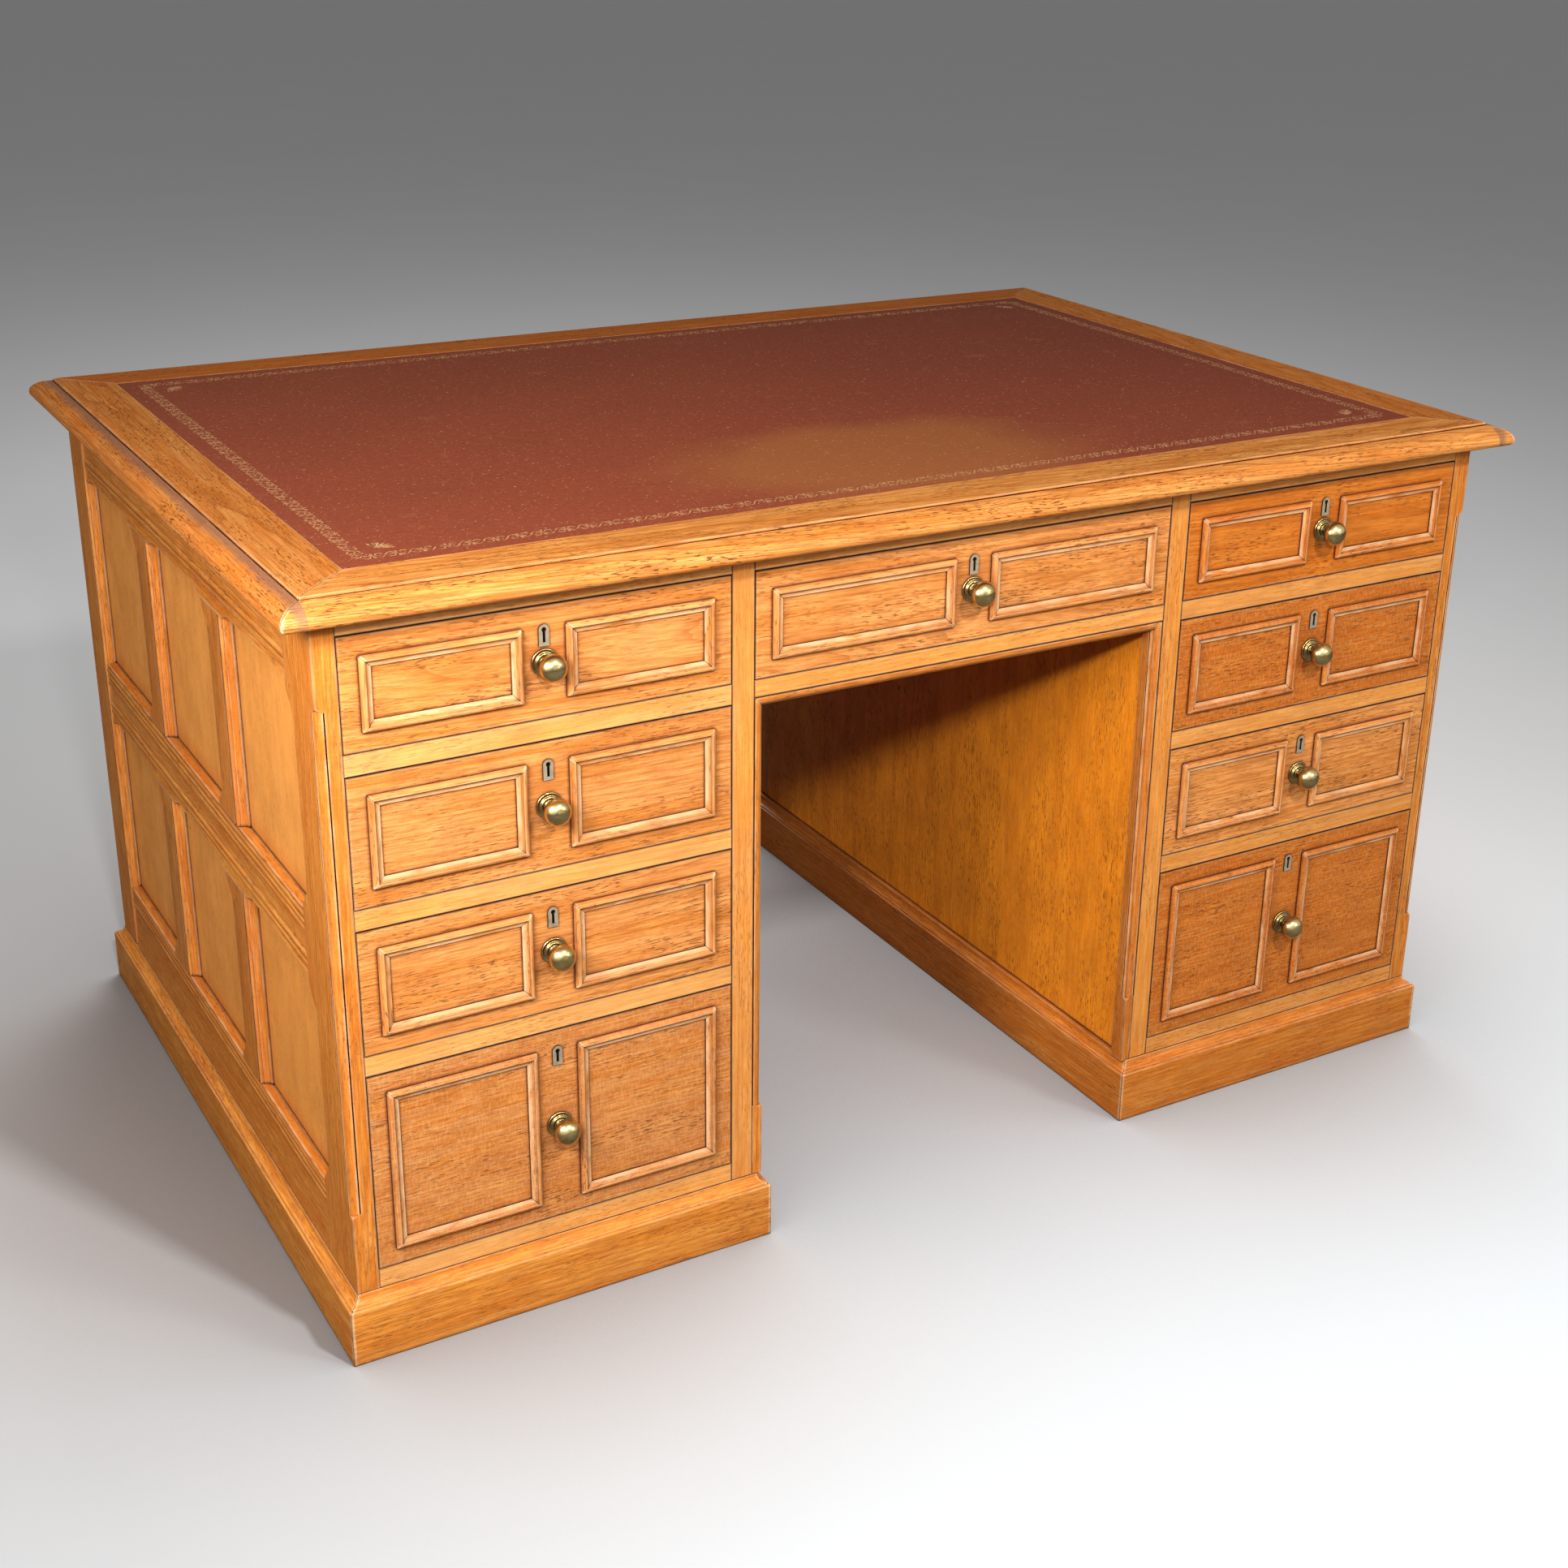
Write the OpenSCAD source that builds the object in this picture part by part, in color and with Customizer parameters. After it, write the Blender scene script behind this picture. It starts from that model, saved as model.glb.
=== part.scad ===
// Kneehole desk in oak with a leather lined top, two panelled pedestals and nine drawers.
// Origin at the middle of the footprint on the floor, X to the right, Y to the back, Z up.

/* [Top] */
// Width of the top over its nosing
top_w = 1414; // [1380:2:1600]
// Depth of the top over its nosing
top_d = 950; // [900:2:1040]
// Height of the desk
desk_h = 775; // [760:1:800]
// Thickness of the top
top_t = 24; // [22:0.5:28]
// How far the top stands out beyond the carcass
overhang = 33; // [28:1:40]
// Width of the flat border from the leather to the nosing
border_w = 58; // [45:1:75]
// Width of the thumb nosing
nose_w = 24; // [20:1:26]
// Fall of the nosing's broad curve
nose_fall = 15; // [11:0.5:16]
// Step between the flat border and the nosing
nose_step = 3; // [2:0.5:4]
// Thickness of the leather
leather_t = 1.2; // [1:0.1:2]
// How far the leather lies below the border
leather_sink = 0.3; // [0.2:0.1:0.6]
// Length of the tongue on the centre panel
tongue_l = 8; // [5:1:10]
// Width of the small moulding under the top
under_w = 10; // [7:1:12]
// Height of the small moulding under the top
under_h = 8; // [6:1:10]

/* [Base] */
// Height of the plinth
plinth_h = 72; // [64:1:80]
// How far the plinth stands out beyond the carcass
plinth_out = 12; // [9:1:14]
// Thickness of the plinth boards
plinth_t = 28; // [24:1:32]
// Height of the moulded top of the plinth
plinth_mould_h = 13; // [12:1:16]
// Radius of the bead under the plinth's cove
plinth_bead_r = 1.8; // [1:0.2:2.4]
// Step between the bead and the cove
plinth_step = 1.6; // [1:0.2:2]
// Thickness of the bottom boards
floor_t = 12; // [9:1:14]

/* [Carcass] */
// Thickness of the side and back frames
frame_t = 22; // [20:1:25]
// Width of the front stile of a side, chamfer included
front_stile_w = 80; // [74:1:90]
// Width of the rear stile of a side, moulding included
rear_stile_w = 66; // [58:1:76]
// Width of a muntin, moulding and chamfer included
muntin_w = 70; // [62:1:78]
// Height of the top rail of a side
top_rail_h = 83; // [76:1:90]
// Height of the middle rail of a side
mid_rail_h = 75; // [68:1:82]
// Height of the middle rail's lower edge from the floor
mid_rail_z = 372; // [350:1:390]
// Height of the bottom rail of a side
low_rail_h = 81; // [74:1:88]
// How far the panels lie behind the frame
recess = 12; // [10:0.5:13]
// Thickness of a panel
panel_t = 6; // [5:0.5:7]
// Depth of the grooves for the panels
groove_d = 7; // [5:0.5:9]

/* [Kneehole] */
// Clear width of the kneehole between its mouldings
knee_w = 472; // [440:2:520]
// Width of the moulding round the kneehole
bead_w = 11; // [9:0.5:13]
// Fall of the outer round of that moulding
bead_fall = 3; // [2:0.25:4]
// Radius of the small bead on its arris
bead_r = 2.4; // [1.6:0.1:3]
// Width of the quirks beside both
bead_quirk = 1.2; // [0.8:0.1:1.4]
// Height of the moulding's lower stop
bead_z0 = 150; // [130:1:180]
// Height of the rail under the centre drawer
knee_rail_h = 18; // [15:1:22]
// How far the plinth stands out under the moulding
knee_plinth_out = 6; // [4:0.5:9]
// Width of the stile beside the kneehole
inner_stile_w = 24; // [20:1:30]
// Depth of the inner stiles and of the moulding
stile_d = 19; // [16:0.5:30]
// Thickness of the inner side boards
inner_side_t = 18; // [15:1:20]
// Thickness of the apron at the back
apron_t = 20; // [16:1:22]

/* [Drawers] */
// Height of the top drawers' opening
drawer_1_h = 109; // [100:1:116]
// Height of the second drawers' opening
drawer_2_h = 129; // [122:1:134]
// Height of the third drawers' opening
drawer_3_h = 128; // [120:1:134]
// Height of the rails between drawers
rail_h = 21; // [18:1:24]
// Height of the rail over the top drawers
head_rail_h = 18.5; // [16:0.5:22]
// Depth of the drawer rails
rail_d = 60; // [50:1:75]
// Thickness of a drawer front
front_t = 20.5; // [19:0.5:24]
// Length of a drawer over its front and back
drawer_l = 620; // [580:5:650]
// Thickness of the drawer sides and backs
side_t = 9; // [8:0.5:11]
// Thickness of the drawer bottoms
bottom_t = 6; // [5:0.5:7]
// Height of the bottom's groove above the drawer's lower edge
bottom_up = 8; // [6:1:12]
// Depth of the bottom's groove
bottom_groove = 5; // [4:0.5:5.5]
// How much lower the sides are than the front
side_drop = 6; // [4:1:10]
// Width of the runners and kickers
runner_w = 30; // [24:1:40]
// Height of the guides beside the drawers
guide_h = 24; // [18:1:30]

/* [Dovetails] */
// Wood left in front of the tails
lap = 5; // [4:0.5:7]
// Spacing of the tails
tail_pitch = 30; // [24:1:36]
// Width of a tail at its narrow root
tail_root = 15; // [12:0.5:17]
// Slope of the tails, as spread per length
tail_slope = 0.16; // [0.12:0.01:0.2]

/* [Mouldings] */
// Width of the planted moulding
mould_w = 11; // [9:0.5:13]
// How far the planted moulding stands proud
mould_out = 5; // [4:0.5:6]
// Plain margin at a drawer's ends
margin_x = 18; // [14:0.5:22]
// Plain margin above and below
margin_z = 18; // [14:0.5:20]
// Plain strip between the two frames
middle_gap = 42; // [38:1:60]
// Width of one reed
reed_w = 7.5; // [6:0.25:8]
// Depth of a reed's quirk
reed_d = 2.2; // [1.5:0.1:3]
// Height of the chamfers on the rails
rail_chamfer = 7.5; // [5:0.5:8.5]
// Width of the chamfers on the stiles and muntins
stile_chamfer_w = 17; // [12:0.5:20]
// Depth of the chamfers on the stiles and muntins
stile_chamfer_d = 9; // [6:0.5:10]
// Length of a chamfer's curved stop
stop_l = 28; // [20:1:34]
// Width of the moulding on a muntin's edge
edge_w = 13; // [11:0.5:14]
// Radius of the moulded corner of the front posts
corner_r = 7.5; // [6:0.5:9]
// Width of the quirks beside the moulded corner
quirk_w = 1.4; // [1.2:0.1:2.4]
// Depth of the quirks beside the moulded corner
quirk_d = 2.2; // [1.6:0.2:4]
// Length of the curved stops of the moulded corner
corner_stop = 12; // [6:1:20]
// Height of the corner moulding's lower stop
corner_z0 = 155; // [130:1:180]
// Height of the corner moulding's upper stop
corner_z1 = 671; // [640:1:690]

/* [Brass] */
// Diameter of a knob's ball
knob_d = 27; // [24:0.5:29]
// Diameter of a knob's rose
rose_d = 26; // [23:0.5:28]
// How far a knob stands out from the drawer
knob_out = 30; // [27:0.5:31]
// Width of an escutcheon
plate_w = 10; // [9:0.5:12]
// Height of an escutcheon
plate_h = 20.5; // [19:0.5:22]
// Distance from the drawer's upper edge to the escutcheon
plate_drop = 16.5; // [14:0.5:18]
// Diameter of a keyhole's round
key_d = 4.6; // [4:0.2:5.4]
// Width of a keyhole's slot
key_slot_w = 2.6; // [2:0.2:3.2]
// Length of a keyhole's slot under the middle of its round
key_slot_l = 12; // [9:0.5:13]
// Width of a lock case
lock_w = 56; // [46:1:64]
// Height of a lock case
lock_h = 42; // [38:1:44]
// Thickness of a lock case
lock_t = 9; // [8:0.5:10]
// Width of a lock bolt
bolt_w = 12; // [10:0.5:14]
// Length of a lock bolt
bolt_l = 11; // [9:0.5:13]
// Throw of a lock bolt
bolt_throw = 6; // [4:0.5:7]

/* [Fit] */
// Gap left by a glued joint
glue = 0.1; // [0.1:0.05:0.2]
// Gap at each end of a drawer front
gap_side = 0.8; // [0.5:0.1:1.2]
// Gap over a drawer front
gap_top = 1; // [0.6:0.1:1.4]
// Gap under a drawer front
gap_low = 0.5; // [0.4:0.1:0.8]
// Gap between a drawer's sides and its runners
gap_run = 0.3; // [0.2:0.1:0.4]
// Clearance of the lock bolt in its slot
gap_bolt = 0.4; // [0.3:0.1:0.6]

/* [Hidden] */
$fn = 48;

// Half sizes of the top, the carcass and the plinth
top_x = top_w / 2;
top_y = top_d / 2;
body_x = top_x - overhang;
body_y = top_y - overhang;
base_x = body_x + plinth_out;
base_y = body_y + plinth_out;
edge_all = border_w + nose_w;
leather_x = top_x - edge_all;
leather_y = top_y - edge_all;
body_top = desk_h - top_t;
nose_r = top_t - nose_step - nose_fall;

// Places across the front, from the middle outwards
knee_x = knee_w / 2;
stile_x = knee_x + bead_w;
column_x0 = stile_x + inner_stile_w;
column_x1 = body_x - frame_t;
column_w = column_x1 - column_x0;
column_mid = (column_x0 + column_x1) / 2;

// Floors and heights of the drawer openings
z_1 = body_top - head_rail_h - drawer_1_h;
z_2 = z_1 - rail_h - drawer_2_h;
z_3 = z_2 - rail_h - drawer_3_h;
z_4 = plinth_h + rail_h;
drawer_4_h = z_3 - rail_h - z_4;
opening_z = [z_1, z_2, z_3, z_4];
opening_h = [drawer_1_h, drawer_2_h, drawer_3_h, drawer_4_h];
knee_top = z_1 - knee_rail_h;
back_in = body_y - frame_t;

// Rails of the panelled frames, as lower and upper edge
top_rail = [body_top - top_rail_h, body_top];
mid_rail = [mid_rail_z, mid_rail_z + mid_rail_h];
low_rail = [plinth_h, plinth_h + low_rail_h];
tiers = [[low_rail[1], mid_rail[0]], [mid_rail[1], top_rail[0]]];

oak = "#c98a3f";
oak_light = "#d9a457";
oak_red = "#b5733a";
hide = "#8a4630";
brass = "#c9a955";
steel = "#7f7a70";

// Points on an elliptical arc
function arc(c, rx, ry, a0, a1, n = 8) =
    [for (i = [0:n]) let (a = a0 + (a1 - a0) * i / n) [c[0] + rx * cos(a), c[1] + ry * sin(a)]];

// Rounded tops of n reeds that start at s, for a face at zero
function reeds(s, n) = [for (k = [0:n - 1], p = arc([s + reed_w * (k + 0.5), -reed_d],
    reed_w / 2, reed_d, 180, 0, 6)) p];

// An ogee that falls from one to zero
function ogee(t) = 0.5 + 0.5 * cos(180 * t);

// Solids from a flat shape, extruded along one axis
module bar_x(x0, x1) {
    translate([x0, 0, 0]) rotate([90, 0, 90]) linear_extrude(x1 - x0) children();
}

module bar_y(y0, y1) {
    translate([0, y1, 0]) rotate([90, 0, 0]) linear_extrude(y1 - y0) children();
}

module bar_z(z0, z1) {
    translate([0, 0, z0]) linear_extrude(z1 - z0) children();
}

module block(a, b) {
    translate(a) cube(b - a);
}

// Both sides of the desk
module both() {
    children();
    mirror([1, 0, 0]) children();
}

// One board of a mitred frame. Its flat section has u inwards from the outer edge
module mitred_board(half_l, half_o, w) {
    intersection() {
        translate([0, -half_o, 0]) bar_x(-half_l, half_l) children();
        linear_extrude(4 * desk_h, center = true) polygon([[-half_l + glue, -half_o],
            [half_l - glue, -half_o], [half_l - glue - w, w - half_o],
            [-half_l + glue + w, w - half_o]]);
    }
}

// Four mitred boards round a rectangle of half size hx by hy
module mitred_frame(hx, hy, w) {
    for (s = [0, 180]) rotate(s) mitred_board(hx, hy, w) children();
    for (s = [90, 270]) rotate(s) mitred_board(hy, hx, w) children();
}

// Cutter for a chamfer w by d along an edge on the X axis, with curved stops at either end
// The wood lies at positive Y and negative Z
module stopped_chamfer(l, w, d, stop0, stop1) {
    deep = w * d / norm([w, d]);
    n = 8;
    rise = [for (i = [0:n]) [stop0 * i / n, deep * ogee(1 - i / n)]];
    fall = [for (i = [0:n]) [l - stop1 + stop1 * i / n, deep * ogee(i / n)]];
    rotate([-atan2(w, d), 0, 0]) linear_extrude(4 * (w + d), center = true)
        polygon(concat([[0, -w - d]], rise, fall, [[l, -w - d]]));
}

/* Top */

// Section of a border board with its nosing, u inwards and v upwards
module border_section() {
    difference() {
        polygon(concat(
            [[edge_all, body_top], [nose_r, body_top]],
            arc([nose_r, body_top + nose_r], nose_r, nose_r, 270, 180, 6),
            arc([nose_w, body_top + nose_r], nose_w, nose_fall, 180, 90, 12),
            [[nose_w, desk_h], [edge_all, desk_h]]));
        translate([edge_all - tongue_l - glue, body_top + top_t / 3 - glue])
            square([tongue_l + 1, top_t / 3 + 2 * glue]);
    }
}

module top_border() {
    color(oak) mitred_frame(top_x, top_y, edge_all) border_section();
}

module top_panel() {
    x = leather_x - glue;
    y = leather_y - glue;
    color(oak) {
        block([-x, -y, body_top], [x, y, desk_h - leather_sink - leather_t]);
        block([-x - tongue_l, -y - tongue_l, body_top + top_t / 3],
            [x + tongue_l, y + tongue_l, body_top + 2 * top_t / 3]);
    }
}

module leather() {
    x = leather_x - glue;
    y = leather_y - glue;
    color(hide) block([-x, -y, desk_h - leather_sink - leather_t], [x, y, desk_h - leather_sink]);
}

// Small hollow moulding under the overhang
module top_moulding() {
    color(oak) mitred_frame(body_x + under_w, body_y + under_w, under_w)
        polygon(concat([[under_w, body_top], [0, body_top], [0, body_top - 2]],
            arc([0, body_top - under_h], under_w - 1.5, under_h - 2, 90, 0, 6),
            [[under_w, body_top - under_h]]));
}

/* Panelled frames, drawn in the plane of the wall with Z outwards and the face at zero */

// Groove for a panel, cut from the edge at v towards negative v
module panel_groove(v) {
    translate([v - groove_d - glue, -recess - panel_t - glue])
        square([groove_d + 1, panel_t + 2 * glue]);
}

// Section of an upright of width w. The near edge at w is moulded, or left square
module upright_section(w, moulded, groove0, groove1) {
    e = w - edge_w;
    cove_w = edge_w - 8.4;
    cove_d = recess - 6;
    edge = moulded ? concat([[e, 0], [e, -1.8], [e + 1.4, -1.8]],
        arc([e + 3.9, -2.5], 2.5, 2.5, 180, 0, 6), [[e + 6.4, -3.6]],
        arc([w - 1.2, -3.6], cove_w, cove_d, 180, 270, 6),
        [[w, -3.6 - cove_d], [w, -frame_t]]) : [[w, 0], [w, -frame_t]];
    difference() {
        polygon(concat([[0, -frame_t], [0, 0]], edge));
        if (groove1) panel_groove(w);
        if (groove0) mirror([1, 0]) panel_groove(0);
    }
}

// Upright from v0 to v1 with its left edge at u, stop chamfered on that edge at each tier
module upright(u, w, v0, v1, moulded, groove0, groove1) {
    difference() {
        translate([u, v1, 0]) rotate([90, 0, 0]) linear_extrude(v1 - v0)
            upright_section(w, moulded, groove0, groove1);
        if (groove0) for (t = tiers) if (t[0] >= v0 - 1 && t[1] <= v1 + 1)
            translate([u, t[1], 0]) rotate(-90)
                stopped_chamfer(t[1] - t[0], stile_chamfer_w, stile_chamfer_d, stop_l, stop_l);
    }
}

// Rail from u0 to u1 between heights v[0] and v[1], with reeds that start at the given heights
// Openings are the stretches of its lower edge that are chamfered
module rail(u0, u1, v, reed_at, openings, groove0, groove1) {
    difference() {
        bar_x(u0, u1) difference() {
            polygon(concat([[v[0], -frame_t], [v[0], 0]],
                [for (r = reed_at, p = reeds(r[0], r[1])) p],
                [[v[1], 0], [v[1], -frame_t]]));
            if (groove1) panel_groove(v[1]);
            if (groove0) translate([v[0], 0]) mirror([1, 0]) panel_groove(0);
        }
        if (groove0) for (o = openings) translate([o[0], v[0], 0])
            stopped_chamfer(o[1] - o[0], rail_chamfer, rail_chamfer, stop_l, o[2]);
    }
}

// Openings between the uprights as start and end, for n panels between u0 and u1
function spans(u0, u1, n) = let (w = (u1 - u0 - (n - 1) * muntin_w) / n)
    [for (i = [0:n - 1]) [u0 + i * (w + muntin_w), u0 + i * (w + muntin_w) + w]];

// A framed wall from u0 to u1 with stiles of the given widths and n panels in each tier
module framed_wall(u0, u1, stile_0, stile_1, n) {
    s = spans(u0 + stile_0, u1 - stile_1, n);
    a = u0 + stile_0 + glue;
    b = u1 - stile_1 - glue;
    opens = [for (i = [0:n - 1]) [s[i][0] - edge_w / 2, s[i][1] + (i == n - 1 ? stop_l : 0),
        stop_l]];
    upright(u0, stile_0, plinth_h, body_top, true, false, true);
    difference() {
        upright(u1 - stile_1, stile_1, plinth_h, body_top, false, true, false);
        children();
    }
    rail(a, b, top_rail, [[top_rail[0] + 15, 2]], opens, true, false);
    rail(a, b, mid_rail, [[mid_rail[0] + 13, 2], [mid_rail[1] - 1.2 - 3.3 * reed_w, 3]],
        opens, true, true);
    rail(a, b, low_rail, [[low_rail[1] - 3 - 3 * reed_w, 3]], [], false, true);
    for (i = [0:1:n - 2], t = tiers)
        upright(s[i][1], muntin_w, t[0] + glue, t[1] - glue, true, true, true);
}

// The panels of the same wall, in their grooves
module wall_panels(u0, u1, stile_0, stile_1, n) {
    for (s = spans(u0 + stile_0, u1 - stile_1, n), t = tiers)
        translate([s[0] - groove_d, t[0] - groove_d, -recess - panel_t])
            cube([s[1] - s[0] + 2 * groove_d, t[1] - t[0] + 2 * groove_d, panel_t]);
}

// Moves a wall to the left side, its near end at the front
module at_left() {
    translate([-body_x, 0, 0]) rotate([90, 0, -90]) children();
}

// Moves a wall to the back, its near end at the outer side of the left pedestal
module at_back() {
    translate([0, body_y, 0]) rotate([90, 0, 180]) children();
}

// Cutter for the stopped moulding on the front corner of a side: a round with a quirk beside it
module corner_cut() {
    r = corner_r;
    l = corner_z1 - corner_z0;
    intersection() {
        translate([body_y, corner_z1, 0]) rotate([90, 0, 0]) linear_extrude(l) {
            difference() {
                translate([-r, -r]) square(r + 1);
                translate([-r, -r]) circle(r);
            }
            translate([-quirk_d, -r - quirk_w]) square([quirk_d + 1, quirk_w]);
            translate([-r - quirk_w, -quirk_d]) square([quirk_w, quirk_d + 1]);
        }
        translate([body_y, corner_z0, 0]) rotate(90)
            stopped_chamfer(l, 3 * r, 3 * r, corner_stop, corner_stop);
    }
}

module side_frame() {
    framed_wall(-body_y, body_y, rear_stile_w, front_stile_w, 3) corner_cut();
}

module left_side_frame() {
    color(oak) at_left() side_frame();
}

module right_side_frame() {
    color(oak) mirror([1, 0, 0]) at_left() side_frame();
}

module side_panels() {
    color(oak_light) both() at_left() wall_panels(-body_y, body_y, rear_stile_w, front_stile_w, 3);
}

/* Front */

// Slot for a lock bolt in the rail over an opening whose top is at z
module bolt_mortise(x, z) {
    block([x - bolt_w / 2 - gap_bolt, bolt_y - gap_bolt, z - 1],
        [x + bolt_w / 2 + gap_bolt, bolt_y + bolt_t + gap_bolt, z + bolt_throw + 2]);
}

module front_frame() {
    front = -body_y;
    color(oak_light) both() {
        // Inner stile, from the plinth to the top
        block([stile_x, front, plinth_h], [column_x0, front + stile_d, body_top]);
        // Rails of the column
        difference() {
            union() {
                block([column_x0 + glue, front, body_top - head_rail_h],
                    [column_x1, front + rail_d, body_top]);
                for (i = [1:3]) block([column_x0 + glue, front, opening_z[i] + opening_h[i]],
                    [column_x1, front + rail_d, opening_z[i] + opening_h[i] + rail_h]);
            }
            for (i = [0:3]) bolt_mortise(column_mid, opening_z[i] + opening_h[i]);
        }
        block([column_x0 + glue, front, plinth_h], [column_x1, front + rail_d, plinth_h + rail_h]);
    }
    color(oak_light) {
        // Rails over and under the centre drawer
        difference() {
            block([-stile_x + glue, front, body_top - head_rail_h],
                [stile_x - glue, front + rail_d, body_top]);
            bolt_mortise(0, z_1 + drawer_1_h);
        }
        block([-stile_x + glue, front, knee_top], [stile_x - glue, front + rail_d, z_1]);
    }
}

// Section of the kneehole's moulding, u towards the opening and v towards the front
module bead_section() {
    d = stile_d;
    round_w = bead_w - bead_quirk - bead_r;
    step = d - bead_fall - 1;
    low = step - bead_r;
    polygon(concat([[0, 0], [0, d - bead_quirk], [bead_quirk, d - bead_quirk]],
        arc([bead_quirk, d - bead_fall], round_w, bead_fall, 90, 0, 6),
        arc([bead_w - bead_r, low], bead_r, bead_r, 90, 0, 5),
        [[bead_w - bead_quirk, low], [bead_w - bead_quirk, low - bead_quirk],
            [bead_w, low - bead_quirk], [bead_w, 0]]));
}

// Jamb from the top downwards, moulded as far as its stop and square below it
module bead_jamb() {
    difference() {
        linear_extrude(knee_top - plinth_h) square([bead_w, stile_d]);
        intersection() {
            translate([0, 0, -1]) linear_extrude(knee_top - bead_z0 + 1) difference() {
                translate([-1, stile_d / 2]) square([bead_w + 2, stile_d]);
                bead_section();
            }
            translate([bead_w, stile_d, -2 * corner_stop]) rotate([180, -90, 0])
                stopped_chamfer(knee_top - bead_z0 + 2 * corner_stop, 3 * bead_w, 3 * bead_w,
                    corner_stop, corner_stop);
        }
    }
}

// Moulding round the kneehole, mitred at both upper corners
module kneehole_bead() {
    color(oak) translate([0, stile_d - body_y, 0]) rotate([90, 0, 0]) {
        intersection() {
            translate([0, knee_top, 0]) mirror([0, 1, 0]) bar_x(-stile_x, stile_x) bead_section();
            linear_extrude(200, center = true) polygon([[-stile_x + 2 * glue, knee_top],
                [stile_x - 2 * glue, knee_top], [knee_x - 2 * glue, knee_top - bead_w],
                [2 * glue - knee_x, knee_top - bead_w]]);
        }
        for (s = [0, 1]) mirror([s, 0, 0]) intersection() {
            translate([-stile_x, knee_top, 0]) rotate([90, 0, 0]) bead_jamb();
            linear_extrude(200, center = true) polygon([[-stile_x, plinth_h],
                [-stile_x, knee_top - glue], [-knee_x, knee_top - bead_w - glue],
                [-knee_x, plinth_h]]);
        }
    }
}

module inner_sides() {
    color(oak) both() block([stile_x, stile_d - body_y, plinth_h],
        [stile_x + inner_side_t, back_in, body_top]);
}

/* Back and base */

module back_frame() {
    color(oak) {
        both() at_back() framed_wall(stile_x, column_x1, rear_stile_w, rear_stile_w, 2);
        block([-stile_x + glue, body_y - apron_t, knee_top], [stile_x - glue, body_y, body_top]);
    }
}

module back_panels() {
    color(oak_light) both() at_back()
        wall_panels(stile_x, column_x1, rear_stile_w, rear_stile_w, 2);
}

// Section of a plinth board, u inwards and v upwards, with a bead and a cove on its top
module plinth_section() {
    r = plinth_bead_r;
    z0 = plinth_h - plinth_mould_h;
    fillet = r + 1;
    land = plinth_out - 1;
    polygon(concat([[plinth_t, 0], [0, 0], [0, z0]], arc([r, z0], r, r, 180, 90, 5),
        [[fillet, z0 + r]],
        arc([fillet, plinth_h], land - fillet, plinth_mould_h - r - plinth_step, 270, 360, 6),
        [[plinth_t, plinth_h]]));
}

module plinths() {
    inner = knee_x - knee_plinth_out;
    hx = (base_x - inner) / 2;
    color(oak) both() translate([(base_x + inner) / 2, 0, 0])
        mitred_frame(hx, base_y, plinth_t) plinth_section();
}

module bottom_boards() {
    color(oak_light) both() block([stile_x + inner_side_t, rail_d - body_y, plinth_h],
        [column_x1, back_in, plinth_h + floor_t]);
}

// Runners, guides and kickers
module runners() {
    y0 = -body_y + rail_d;
    y1 = back_in;
    inner = stile_x + inner_side_t;
    color(oak_light) {
        both() for (i = [0:3]) {
            low = i == 3 ? plinth_h + floor_t : opening_z[i] - rail_h;
            // Outer runner with its guide, and inner runner with its guide
            block([column_x1 - runner_w, y0, low], [column_x1, y1, opening_z[i]]);
            block([inner, y0, low], [inner + runner_w, y1, opening_z[i]]);
            block([inner, y0, opening_z[i]], [column_x0 - glue, y1, opening_z[i] + guide_h]);
        }
        both() {
            // Kickers over the top drawers
            block([column_x1 - runner_w, y0, body_top - head_rail_h], [column_x1, y1, body_top]);
            block([inner, y0, body_top - head_rail_h], [inner + runner_w, y1, body_top]);
            // Runner and kicker of the centre drawer
            block([stile_x - runner_w, y0, knee_top], [stile_x, y1, z_1]);
            block([stile_x - runner_w, y0, body_top - head_rail_h], [stile_x, y1, body_top]);
        }
    }
}

/* Drawers, each drawn with its opening's lower edge at the origin and its face at zero Y */

bolt_t = lock_t - 4;
bolt_y = front_t - lock_t + 2 - body_y;

function front_lo() = gap_low;
function front_hi(h) = h - gap_top;
function side_hi(h) = h - gap_top - side_drop;
function tail_count(h) = max(2, floor((side_hi(h) - 14) / tail_pitch));

// Tails of one end, drawn flat in Y and Z, with the root at y and a length l towards the end
module tails(h, y, l, extra) {
    n = tail_count(h);
    z0 = gap_run;
    step = (side_hi(h) - z0) / n;
    flare = l * tail_slope;
    for (i = [0:n - 1]) let (c = z0 + step * (i + 0.5)) polygon([
        [y + sign(l) * -0.01, c - tail_root / 2 - extra],
        [y + l, c - tail_root / 2 - abs(flare) - extra],
        [y + l, c + tail_root / 2 + abs(flare) + extra],
        [y + sign(l) * -0.01, c + tail_root / 2 + extra]]);
}

// Two frames of planted moulding between x0 and x1 and between the heights z0 and z1
module planted_frame(x0, x1, z0, z1) {
    w = mould_w;
    p = mould_out;
    translate([(x0 + x1) / 2, 0, (z0 + z1) / 2]) rotate([90, 0, 0])
        translate([0, 0, glue]) mitred_frame((x1 - x0) / 2, (z1 - z0) / 2, w)
            polygon(concat([[w, 0], [0, 0]],
                arc([0.36 * w, 0.25 * p], 0.36 * w, 0.75 * p, 180, 90, 5),
                [[0.46 * w, p], [0.46 * w, 0.78 * p]],
                arc([w, 0.78 * p], 0.54 * w - 0.8, 0.5 * p, 180, 270, 5),
                [[w, 0.28 * p]]));
}

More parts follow.
